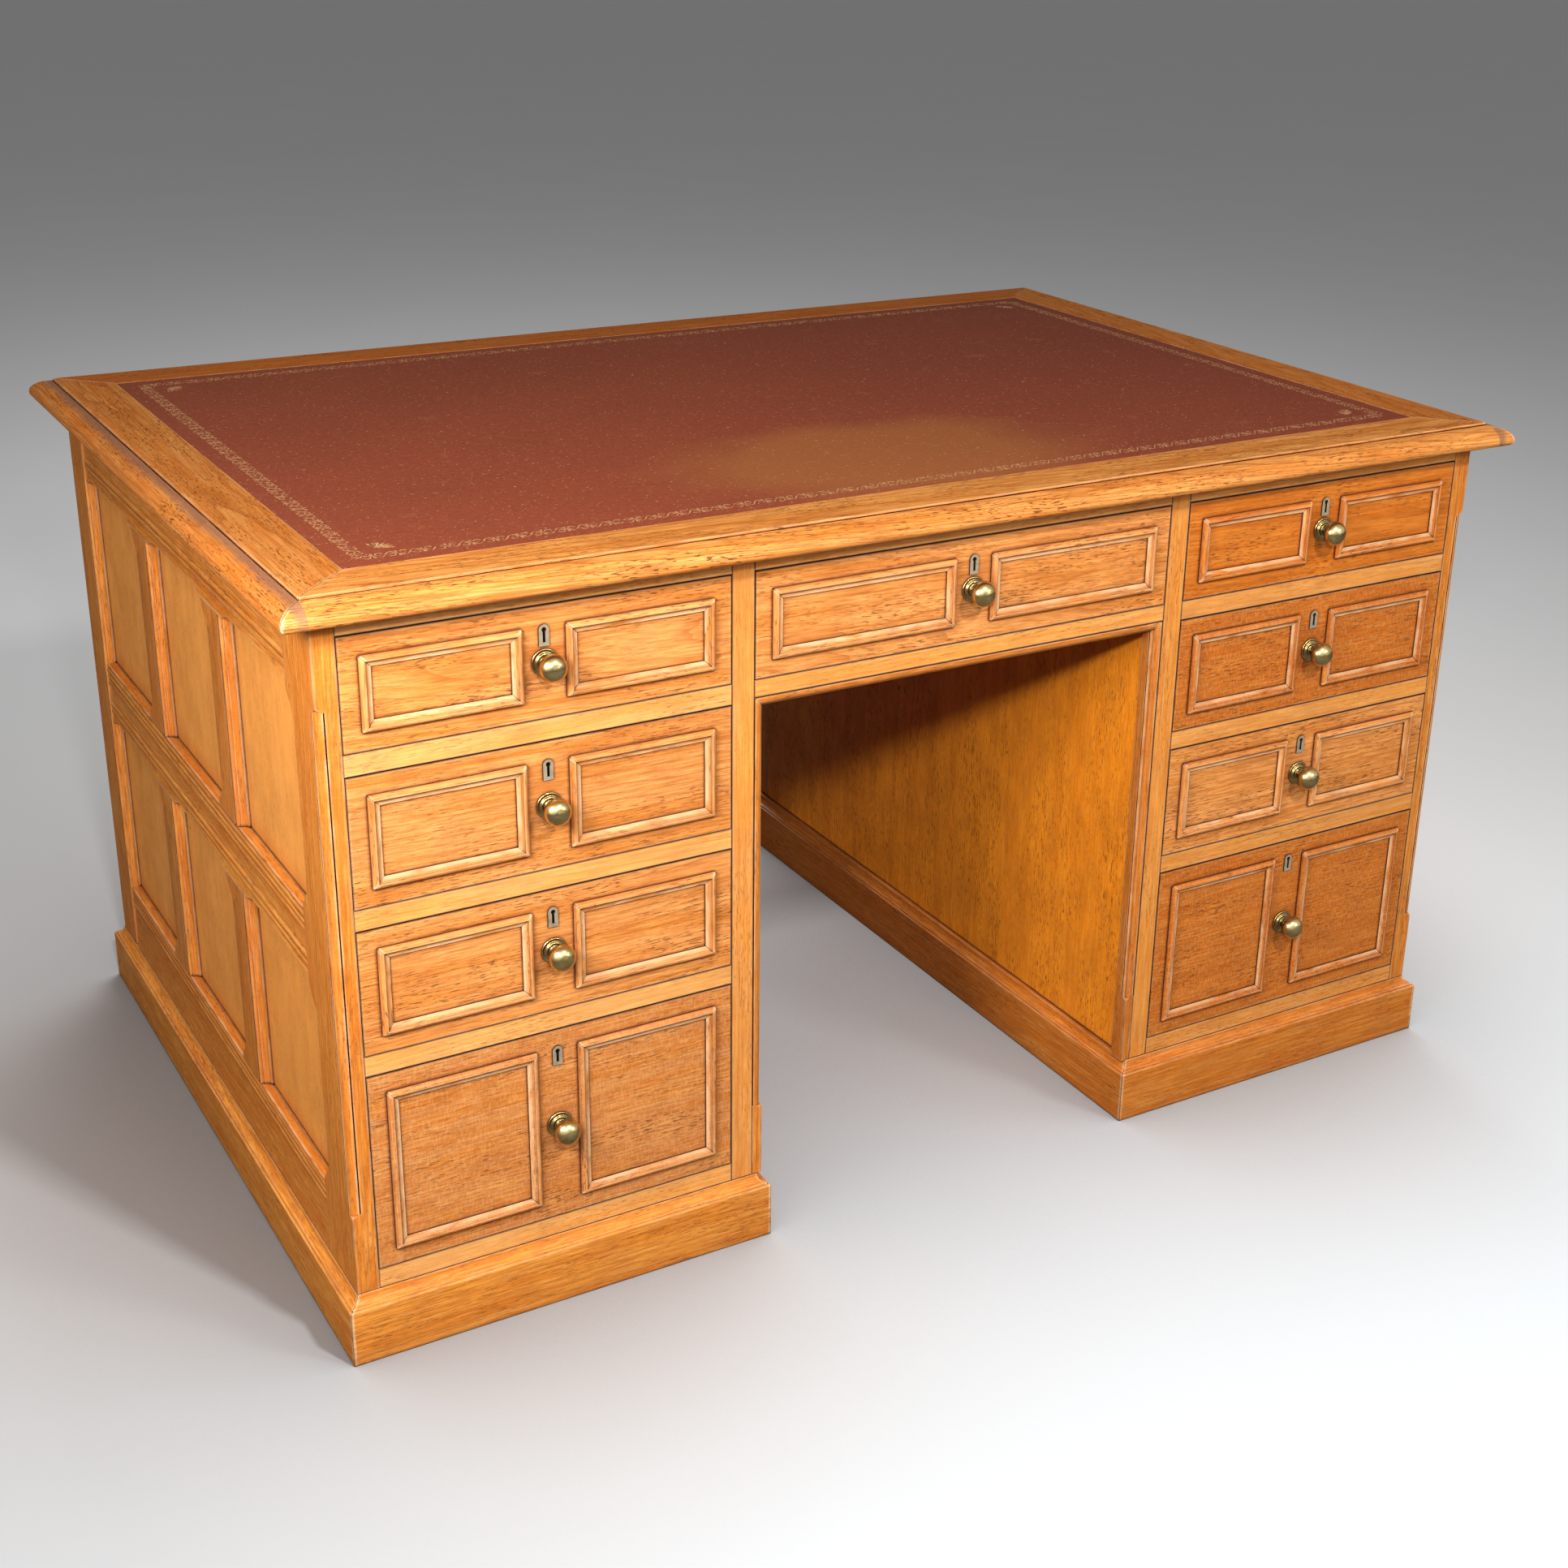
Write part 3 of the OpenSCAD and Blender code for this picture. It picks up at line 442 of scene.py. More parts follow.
        # Old polish and painted shade beside mouldings and knobs, and deep in the kneehole's lining
        if self.polish_and_shade_share:
            beside = self.hollow(tree, self.polish_and_shade_reach, self.polish_and_shade_band, False)
            layers.append((beside, self.polish_and_shade_share, self.polish_and_shade))
        # Dark wax and painted shade in recesses and gaps
        layers.append((self.hollow(tree, 3.5 * MM, (0.50, 0.93), False), self.wax_and_shade_share, self.wax))
        # Dark joints and painted shade in the gaps at each board's edges
        if self.seam_and_shade_share:
            layers.append((self.seam(tree), self.seam_and_shade_share, self.joint_and_shade))
        if self.band_from:
            layers.append((self.band(tree, place), self.sleeve_share, self.sleeve))
        layers.append((holes, 1.0, self.wax))
        wood = add_node(tree, "Mix", {0: tone, 6: self.honey, 7: self.tan}, data_type="RGBA")

        relief = add_up(tree, 0.5, ((ticks, -0.8), (threads, -0.25), (holes, -1.5)))
        surface = {
            "Base Color": lay_over(tree, wood, layers),
            "Roughness": add_up(tree, self.roughness, ((ticks, 0.2), (mottle, 0.12))),
            "Normal": add_node(tree, "Bump", {"Height": relief, "Strength": 0.8, "Distance": 0.3 * MM}),
            "IOR": 1.45,
            "Specular IOR Level": 0.2,
        }
        finish_material(tree, surface)
        return material


@dataclass(frozen=True)
class TooledHide:
    """Cowhide skiver, dyed oxblood, glazed and pressed flat: a fine pebble, dull shine and rubbed patches,
    with a painted sheen and painted shade to the right and back.

    Attributes:
        name: the material's name.
        hide: the dyed colour.
        faded, deep, shaded, painted_sheen, dust: colours of rubs and scratches, of clouds, spots and the
        painted shade to the right, of the painted shade to the back, of a painted sheen and of specks.
        pebble: the size of the pebble, about twice the real one, so that it shows.
        seat, reach: the middle and the half sizes of the painted sheen.
        roughness: of the glaze.
    """

    name: str = "dyed_cowhide"
    hide: str = "#9b4a2e"
    faded: str = "#bd7345"
    deep: str = "#6b2f22"
    shaded: str = "#5c3a24"
    painted_sheen: str = "#b97a38"
    dust: str = "#d9a27c"
    pebble: float = 2.4 * MM
    seat: tuple[float, float] = (0.0, -0.27)
    reach: tuple[float, float] = (0.30, 0.17)
    roughness: float = 0.38

    def sheen_patch(self, tree: NodeTree, where: Any, cloud: Node) -> Node:
        """A painted sheen on the glaze: an ellipse, whose edge the clouds move.

        Args:
            tree: the material's node tree.
            where: the place on the hide.
            cloud: the clouds of the dye.
        Returns:
            A node that gives from zero to one.
        """
        middle = add_node(tree, "VectorMath", {0: where, 1: (*self.seat, 0.0)}, operation="SUBTRACT")
        across = (1 / self.reach[0], 1 / self.reach[1], 0.0)
        middle = add_node(tree, "VectorMath", {0: middle, 1: across}, operation="MULTIPLY")
        away = add_node(tree, "VectorMath", {0: middle}, operation="LENGTH").outputs["Value"]
        away = add_node(tree, "Math", {0: cloud, 1: 0.5, 2: away}, operation="MULTIPLY_ADD")
        return add_node(tree, "MapRange", {"Value": away, "From Min": 1.18, "From Max": 0.72})

    def material(self) -> Material:
        """Builds the material.

        Returns:
            A material whose marks lie over the dye in order, from its clouds to its specks.
        """
        material, tree = new_material(self.name)
        where = add_node(tree, "TexCoord").outputs["Object"]
        cloud = patches(tree, where, 3.2, (0.35, 0.7), 4.0, 0.6)
        scratches = add_node(tree, "VectorMath", {0: where, 1: (210.0, 420.0, 300.0)}, operation="MULTIPLY")
        sides = add_node(tree, "SeparateXYZ", {0: where}).outputs
        # Painted shade: the hide darker to the right and to the back, where the lamps' light falls off
        right = add_node(tree, "MapRange", {"Value": sides["X"], "From Min": -0.1, "From Max": 0.62})
        far = add_node(tree, "MapRange", {"Value": sides["Y"], "From Min": -0.1, "From Max": 0.45})
        layers = (
            (right, 0.36, self.deep),
            (far, 0.22, self.shaded),
            (cloud, 0.28, self.deep),
            (patches(tree, where, 160.0, (0.45, 0.75), 3.0), 0.35, self.deep),
            (patches(tree, where, 26.0, (0.60, 0.85), 5.0, 0.7), 0.5, self.faded),
            (self.sheen_patch(tree, where, cloud), 0.34, self.painted_sheen),
            (patches(tree, scratches, 1.0, (0.68, 0.74), 2.0), 0.6, self.faded),
            (patches(tree, where, 340.0, (0.70, 0.76), 1.0), 0.7, self.dust),
        )
        pebbles = {"Vector": where, "Scale": 1 / self.pebble}
        cells = add_node(tree, "TexVoronoi", pebbles, feature="SMOOTH_F1")
        surface = {
            "Base Color": lay_over(tree, self.hide, layers),
            "Roughness": add_up(tree, self.roughness, ((cloud, 0.08),)),
            "Normal": add_node(tree, "Bump", {"Height": cells, "Strength": 0.22, "Distance": 0.3 * MM}),
            "IOR": 1.5,
            "Specular IOR Level": 0.35,
        }
        finish_material(tree, surface)
        return material


@dataclass(frozen=True)
class AgedBrass:
    """Turned and polished brass that has dulled: bright where hands reach it, brown where they don't.
    The brown behind a knob's middle also paints a dark reflection on its rim.

    Attributes:
        name: the material's name.
        bright, dull, tarnish, unrubbed: colours of the polish, of its clouds, of hollows and of
        parts behind a knob's middle, left unpolished and painting a dark reflection on its rim.
        metal: how metallic it is.
        roughness: of the polish.
        reach: how near a hollow's sides lie.
        hollow: the openness at which a hollow is full of tarnish, and at which it ends.
    """

    name: str = "aged_brass"
    bright: str = "#dfc588"
    dull: str = "#ab8d50"
    tarnish: str = "#2e1d0b"
    unrubbed: str = "#3c2c10"
    metal: float = 1.0
    roughness: float = 0.23
    reach: float = 4 * MM
    hollow: tuple[float, float] = (0.30, 0.84)

    def material(self) -> Material:
        """Builds the material.

        Returns:
            A material with tarnish where hands don't reach, by how much is covered within the reach.
        """
        material, tree = new_material(self.name)
        where = add_node(tree, "TexCoord").outputs["Object"]
        clouds = add_node(tree, "TexNoise", {"Vector": where, "Scale": 120.0, "Detail": 4.0})
        cloud = add_node(tree, "MapRange", {"Value": clouds, "From Min": 0.4, "From Max": 0.75})
        recess = add_node(tree, "AmbientOcclusion", {"Distance": self.reach}, samples=8).outputs["AO"]
        # Unpolished brass behind a knob's middle, which also paints a dark reflection on its rim
        behind = add_node(tree, "Attribute", attribute_name="unrubbed").outputs["Fac"]
        band = {"Value": recess, "From Min": self.hollow[1], "From Max": self.hollow[0], "To Max": 0.95}
        dirt = add_node(tree, "MapRange", band)
        layers = ((cloud, 1.0, self.dull), (behind, 0.85, self.unrubbed), (dirt, 1.0, self.tarnish))
        surface = {
            "Base Color": lay_over(tree, self.bright, layers),
            "Metallic": self.metal,
            "Roughness": add_up(tree, self.roughness, ((dirt, 0.4), (cloud, 0.12))),
            "Normal": add_node(tree, "Bump", {"Height": clouds, "Strength": 0.08, "Distance": 0.4 * MM}),
        }
        finish_material(tree, surface)
        return material


@dataclass(frozen=True)
class Mottled:
    """A finish of two colours: the second lies over the first in patches of noise.

    Attributes:
        name: the material's name.
        base, patch: the two colours.
        scale: of the noise, in patches for each metre or so.
        band: the values of the noise between which a patch fades in.
        roughness: of the base and of the patches.
        metal: how metallic both are.
        relief: the strength of the bump.
        gloss: the specular level.
    """

    name: str
    base: str
    patch: str
    scale: float
    band: tuple[float, float]
    roughness: tuple[float, float]
    metal: float = 0.0
    relief: float = 0.1
    gloss: float = 0.5

    def material(self) -> Material:
        """Builds the material.

        Returns:
            A material whose colour, roughness and bump come from the same noise.
        """
        material, tree = new_material(self.name)
        where = add_node(tree, "TexCoord").outputs["Object"]
        noise = add_node(tree, "TexNoise", {"Vector": where, "Scale": self.scale, "Detail": 4.0, "Roughness": 0.65})
        share = add_node(tree, "MapRange", {"Value": noise, "From Min": self.band[0], "From Max": self.band[1]})
        rough = {"Value": share, "To Min": self.roughness[0], "To Max": self.roughness[1]}
        surface = {
            "Base Color": lay_over(tree, self.base, ((share, 1.0, self.patch),)),
            "Roughness": add_node(tree, "MapRange", rough),
            "Normal": add_node(tree, "Bump", {"Height": noise, "Strength": self.relief, "Distance": 0.3 * MM}),
            "Metallic": self.metal,
            "Specular IOR Level": self.gloss,
        }
        finish_material(tree, surface)
        return material


class Finish(Enum):
    """The desk's finishes. The oaks differ in stain and polish, as light, hands and sun have left them."""

    # Stiles, rails and plinths: the deepest orange, polished smooth, with few open pores
    FRAME = WaxedOak(
        "golden_oak_frame",
        honey="#f09a3a",
        tan="#c4661c",
        flare="#d6700c",
        tick_share=0.45,
        polish_and_shade_share=0.2,
        seam_and_shade_share=0.4,
    )
    # The front's rails and stiles: pale, bright and plain
    RAIL = WaxedOak(
        "pale_oak_rail",
        honey="#eeac62",
        tan="#da7c20",
        flare="#ee983a",
        cream="#ffcc80",
        ring_share=0.25,
        thread_share=0.25,
        tick_share=0.35,
        polish_and_shade_share=0.0,
    )
    # The side panels: quiet quartered boards of an even honey yellow
    PANEL = WaxedOak(
        "golden_oak_panel",
        honey="#ffaa50",
        tan="#ee9238",
        flare="#ea8e30",
        flare_share=0.35,
        cream_share=0.1,
        ring_share=0.12,
        thread_share=0.12,
        tick_share=0.2,
        ray_share=0.1,
        wear_and_highlight_share=0.4,
    )
    # The darkness deep in the kneehole is painted shade, laid by how open the place is
    LINING = WaxedOak(
        "ochre_oak_lining",
        honey="#ff9c1c",
        tan="#e27e14",
        flare="#e27c0e",
        cream="#ffa62c",
        polish_and_shade="#3a1402",
        ring_share=0.15,
        thread_share=0.35,
        ray_share=0.05,
        polish_and_shade_share=0.3,
        polish_and_shade_reach=800 * MM,
        polish_and_shade_band=(0.06, 0.30),
        seam_and_shade_share=0.0,
        plank=0.11,
    )
    # The border and its nosing: strong long grain, and a grey band where sleeves rub
    TOP = WaxedOak(
        "golden_oak_top",
        honey="#f8aa56",
        tan="#ac5208",
        flare="#d0701a",
        cream="#ffcc86",
        thread=(70 * MM, 1.5 * MM),
        cream_share=0.12,
        thread_share=0.75,
        ring_share=0.8,
        tick_share=0.85,
        polish_and_shade_share=0.0,
        seam_and_shade_share=0.0,
        band_from=683 * MM,
    )
    # Drawer fronts: pinkish brown and open grained, and on the right a deeper orange, partly stain and partly
    # painted shade of the lamps' fall-off
    DRAWER = WaxedOak("brown_oak_drawer", honey="#f6a55a", tan="#c57a42")
    DEEP_DRAWER = WaxedOak(
        "deep_oak_drawer", honey="#f89638", tan="#bc5e16", flare="#c66008", cream="#ffa848", polish_and_shade="#7a340c"
    )
    # Inside wood, never stained: dry, grey yellow and without shine
    BARE = WaxedOak(
        "bare_oak",
        honey="#d8b182",
        tan="#c49a66",
        flare="#c79c68",
        ring="#a87c4c",
        pore="#7a5730",
        rubbed="#e8cfaa",
        cream="#e4c498",
        polish_and_shade="#a87e50",
        wax_and_shade_share=0.6,
        roughness=0.6,
    )
    # Red brown hide with a dull shine
    HIDE = TooledHide()
    # Gold leaf pressed into the hide with a hot wheel: thin, and rubbed through to the hide in places
    GOLD = Mottled("gold_leaf", "#8a4a30", "#dfa872", 150.0, (0.38, 0.52), (0.50, 0.40), metal=0.2)
    # The knobs' brass: bright and yellow on the ball, brown in the rings
    BRASS = AgedBrass()
    # Brass plates, pale from polishing and black in the keyhole's edge
    PLATE = AgedBrass(
        "washed_brass",
        bright="#d8c6aa",
        dull="#ac9676",
        tarnish="#0c0603",
        metal=0.7,
        roughness=0.40,
        reach=5 * MM,
        hollow=(0.62, 0.93),
    )
    # Mild steel of the lock bolts, greyed by age, with a brown bloom
    STEEL = Mottled("greyed_steel", "#8b8680", "#5a4031", 100.0, (0.50, 0.75), (0.34, 0.64), metal=0.9)
    # Oiled black iron inside the lock, whose near black paints the shade in the keyhole
    IRON = Mottled("black_iron_shade", "#17120e", "#20140c", 100.0, (0.50, 0.75), (0.45, 0.70), metal=0.6)
    # Beeswax that has taken up dust: nearly black brown, and paler where a cloth has reached it; laid in the
    # top's step, it also paints the shadow there
    WAX = Mottled("old_wax_shade", "#2c1208", "#7a4220", 25.0, (0.45, 0.75), (0.60, 0.40), relief=0.3, gloss=0.1)

    @cache
    def material(self) -> Material:
        """Gives the finish's material, which is built at its first use."""
        return self.value.material()


def add_piece(name: str, mesh: Mesh, material: Material) -> Object:
    """Links a finished mesh as an object at the origin, and reports it.

    Args:
        name: the piece's name.
        mesh: the mesh.
        material: its material.
    Returns:
        The object.
    """
    piece = bpy.data.objects.new(name, mesh)
    bpy.context.scene.collection.objects.link(piece)
    mesh.materials.clear()
    mesh.materials.append(material)
    LOG.info("%s: %d faces", name, len(mesh.polygons))
    return piece


def round_faces(mesh: Mesh, degrees: float) -> None:
    """Shades a mesh smooth, but for edges that turn by more than an angle."""
    mesh.shade_smooth()
    mesh.set_sharp_from_angle(angle=math.radians(degrees))


def islands(pairs: np.ndarray, count: int) -> np.ndarray:
    """Numbers the separate boards of a mesh.

    Each vertex starts with its own number, and both ends of an edge take the lower one until none changes.

    Args:
        pairs: the edges as pairs of vertices.
        count: the number of vertices.
    Returns:
        For each vertex, the number of its board from zero.
    """
    label = np.arange(count)
    while True:
        low = np.minimum(label[pairs[:, 0]], label[pairs[:, 1]])
        new = label.copy()
        np.minimum.at(new, pairs[:, 0], low)
        np.minimum.at(new, pairs[:, 1], low)
        new = new[new]
        if np.array_equal(new, label):
            return np.unique(label, return_inverse=True)[1]
        label = new


@dataclass
class Board:
    """The timber of one piece: which way its grain runs, how it was sawn and how dark it is.

    Attributes:
        grain: the way of the grain.
        cut: how it was sawn.
        tone: how dark it is, from 0 to 1.
        spread: how far the boards differ in tone.
        trim: what slim mouldings have more or less of tone.
        lean: what a board has more of tone for each metre to the right and to the back, partly the wood's own
        change and partly painted shade of the lamps' fall-off.
        stile: what an upright board has more of tone.
    """

    grain: Axis = Axis.LONGEST
    cut: Cut = Cut.RIFT
    tone: float = 0.3
    spread: float = 0.2
    trim: float = 0.0
    lean: tuple[float, float] = (0.0, 0.0)
    stile: float = 0.0

    def place_in_tree(self, points: np.ndarray, draw: np.random.Generator) -> np.ndarray:
        """Works out where each point of a board was in its tree.

        The first value runs along the grain. The other two are the distances from the pith, which lies
        off the board's middle by what the cut says and is tilted, so that the rings run out at the face.

        Args:
            points: the board's points.
            draw: the board's random draws.
        Returns:
            Three values for each point.
        """
        low, high = points.min(0), points.max(0)
        size = high - low
        along = int(np.argmax(size)) if self.grain is Axis.LONGEST else self.grain.value
        others = sorted((a for a in range(3) if a != along), key=lambda a: -size[a])
        local = points - (low + high) / 2
        side, deep, tilt, _ = self.cut.value
        lean = draw.uniform(-tilt, tilt, 2)
        x = local[:, along]
        y = local[:, others[0]] + draw.choice((-1, 1)) * side * draw.uniform(0.7, 1.4) + lean[0] * x
        z = local[:, others[1]] + draw.choice((-1, 1)) * deep * draw.uniform(0.8, 1.3) + lean[1] * x
        return np.stack([x + draw.uniform(1, 9), y, z], 1)

    def mark(self, mesh: Mesh, name: str) -> None:
        """Writes into the mesh each vertex's place in its tree, and its board's tone, flecks and box.

        Args:
            mesh: the finished mesh.
            name: the piece's name, which seeds the draws.
        """
        count = len(mesh.vertices)
        points = np.empty(count * 3)
        mesh.vertices.foreach_get("co", points)
        points = points.reshape(-1, 3)
        pairs = np.empty(len(mesh.edges) * 2, int)
        mesh.edges.foreach_get("vertices", pairs)
        boards = islands(pairs.reshape(-1, 2), count)
        draw = seeded(name)
        place, middles, halves = np.empty((3, count, 3))
        tone = np.empty(count)
        for number in range(boards.max() + 1):
            mine = boards == number
            place[mine] = self.place_in_tree(points[mine], draw)
            size = np.ptp(points[mine], axis=0)
            middle = points[mine].min(0) + size / 2
            middles[mine], halves[mine] = middle, size / 2
            own = self.tone + self.trim * (np.sort(size)[1] < SLIM) + self.stile * (np.argmax(size) == 2)
            # More tone to the right and to the back: partly the wood, partly painted shade of the lamps' fall-off
            own += self.lean[0] * middle[0] + self.lean[1] * middle[1]
            tone[mine] = np.clip(own + draw.uniform(-self.spread, self.spread), 0, 1)
        for key, values in (("place", place), ("middle", middles), ("half", halves)):
            mesh.attributes.new(key, "FLOAT_VECTOR", "POINT").data.foreach_set("vector", values.ravel())
        for key, values in (("tone", tone), ("fleck", np.full(count, self.cut.value[3]))):
            mesh.attributes.new(key, "FLOAT", "POINT").data.foreach_set("value", values)


@dataclass
class Joinery:
    """The boards of one CAD node as a cabinet maker leaves them, with their sharp arrises taken off.

    Attributes:
        node: the CAD node that the piece stands for.
        board: its timber.
        slot: the record's material slot.
        body: the body that it rides on.
        arris: how much is taken off each outer edge.
        sharp: the least angle of an edge that is softened.
    """

    node: str
    board: Board
    slot: str
    body: str = CARCASS
    arris: float = 0.6 * MM
    sharp: float = 38.0

    def soften(self, work: bmesh.types.BMesh) -> None:
        """Joins the loose triangles into flat faces and bevels the outer edges with two facets.

        Args:
            work: the mesh to change.
        """
        bmesh.ops.remove_doubles(work, verts=work.verts, dist=0.01 * MM)
        bmesh.ops.dissolve_limit(work, angle_limit=math.radians(0.4), verts=work.verts, edges=work.edges)
        least = math.radians(self.sharp)
        edges = [e for e in work.edges if len(e.link_faces) == 2 and e.calc_face_angle_signed() > least]
        bmesh.ops.bevel(
            work, geom=edges, offset=self.arris, segments=2, profile=0.6, affect="EDGES", clamp_overlap=True
        )

    def make(self, finish: Material) -> Object:
        """Builds the piece.

        Args:
            finish: the material.
        Returns:
            The piece, which rides on its body and stands for its node.
        """
        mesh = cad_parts[self.node].data.copy()
        mesh.name = self.node + "_boards"
        work = bmesh.new()
        work.from_mesh(mesh)
        self.soften(work)
        work.to_mesh(mesh)
        work.free()
        for extra in [a.name for a in mesh.attributes if a.name.startswith(("UV", "_"))]:
            mesh.attributes.remove(mesh.attributes[extra])
        self.board.mark(mesh, self.node)
        round_faces(mesh, 50.0)
        piece = add_piece(mesh.name, mesh, finish)
        piece.modifiers.new("flat_faces", "WEIGHTED_NORMAL").keep_sharp = True
        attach(piece, self.body)
        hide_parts(self.node)
        return piece


def grid_mesh(name: str, points: np.ndarray, close_u: bool = False, close_v: bool = False) -> Mesh:
    """Makes a mesh from a grid of points.

    Args:
        name: the mesh's name.
        points: the points by row, column and coordinate.
        close_u: whether the last row joins the first.
        close_v: whether the last column joins the first.
    Returns:
        The mesh, with coincident points joined and its faces turned outwards.
    """
    rows, columns = points.shape[:2]
    i = np.arange(rows if close_u else rows - 1)[:, None]
    j = np.arange(columns if close_v else columns - 1)[None, :]
    a, b = i * columns + j, ((i + 1) % rows) * columns + j
    c, d = ((i + 1) % rows) * columns + (j + 1) % columns, i * columns + (j + 1) % columns
    quads = np.stack([a, b, c, d], -1).reshape(-1, 4)
    mesh = bpy.data.meshes.new(name)
    mesh.from_pydata(points.reshape(-1, 3), [], quads)
    close_mesh(mesh)
    return mesh


def close_mesh(mesh: Mesh) -> None:
    """Joins coincident points and turns the faces outwards.

    Args:
        mesh: the mesh to change.
    """
    work = bmesh.new()
    work.from_mesh(mesh)
    bmesh.ops.remove_doubles(work, verts=work.verts, dist=0.002 * MM)
    bmesh.ops.recalc_face_normals(work, faces=work.faces)
    work.to_mesh(mesh)
    work.free()


def arc(
    centre: tuple[float, float], radii: tuple[float, float], turn: tuple[float, float], count: int
) -> np.ndarray:
    """Points on an ellipse: the centre plus each radius times the cosine or sine of an even run of angles.

    Args:
        centre: its centre.
        radii: its two radii.
        turn: the first and last angle in degrees.
        count: the number of points.
    Returns:
        The points as rows of two.
    """
    angle = np.radians(np.linspace(*turn, count))
    return np.stack([centre[0] + radii[0] * np.cos(angle), centre[1] + radii[1] * np.sin(angle)], 1)


@dataclass
class Hide:
    """The hide of the writing surface, glued down, so that it is flat but for a slight swell.

    Attributes:
        cells: number of cells along its length and width.
        swell: height of the swell.
    """

    cells: tuple[int, int] = (120, 76)
    swell: float = 0.12 * MM

    def make(self, finish: Material) -> Object:
        """Builds the hide.

        The upper face is a grid that drops by a sum of three slow cosines, and its rim turns down to the
        thickness. The lower face is flat.

        Args:
            finish: the material.
        Returns:
            The piece.
        """
        low, high = (np.array(v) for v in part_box("leather"))
        u = np.linspace(0, 1, self.cells[0] + 1)[:, None]
        v = np.linspace(0, 1, self.cells[1] + 1)[None, :]
        wave = 3 + np.cos(13 * u + 3 * v) + np.cos(17 * v - 5 * u) + np.cos(9 * u * v + 2)
        top = np.empty((*wave.shape, 3))
        top[..., 0] = low[0] + (high[0] - low[0]) * u
        top[..., 1] = low[1] + (high[1] - low[1]) * v
        top[..., 2] = high[2] - self.swell * wave / 6
        base = top.copy()
        base[..., 2] = low[2]
        sheet = np.concatenate([base[:, :1], top, base[:, -1:]], 1)
        first, last = (sheet[[k]] * [1, 1, 0] + [0, 0, low[2]] for k in (0, -1))
        under = np.concatenate([first, sheet, last], 0)
        mesh = grid_mesh("writing_hide", under)
        self.close_under(mesh)
        round_faces(mesh, 40.0)
        piece = add_piece("writing_hide", mesh, finish)
        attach(piece, CARCASS)
        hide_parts("leather")
        return piece

    @staticmethod
    def close_under(mesh: Mesh) -> None:
        """Fills the open rim of the lower face with one flat face.

        Args:
            mesh: the mesh to change.
        """
        work = bmesh.new()
        work.from_mesh(mesh)
        rim = [e for e in work.edges if e.is_boundary]
        bmesh.ops.contextual_create(work, geom=rim)
        bmesh.ops.recalc_face_normals(work, faces=work.faces)
        work.to_mesh(mesh)
        work.free()


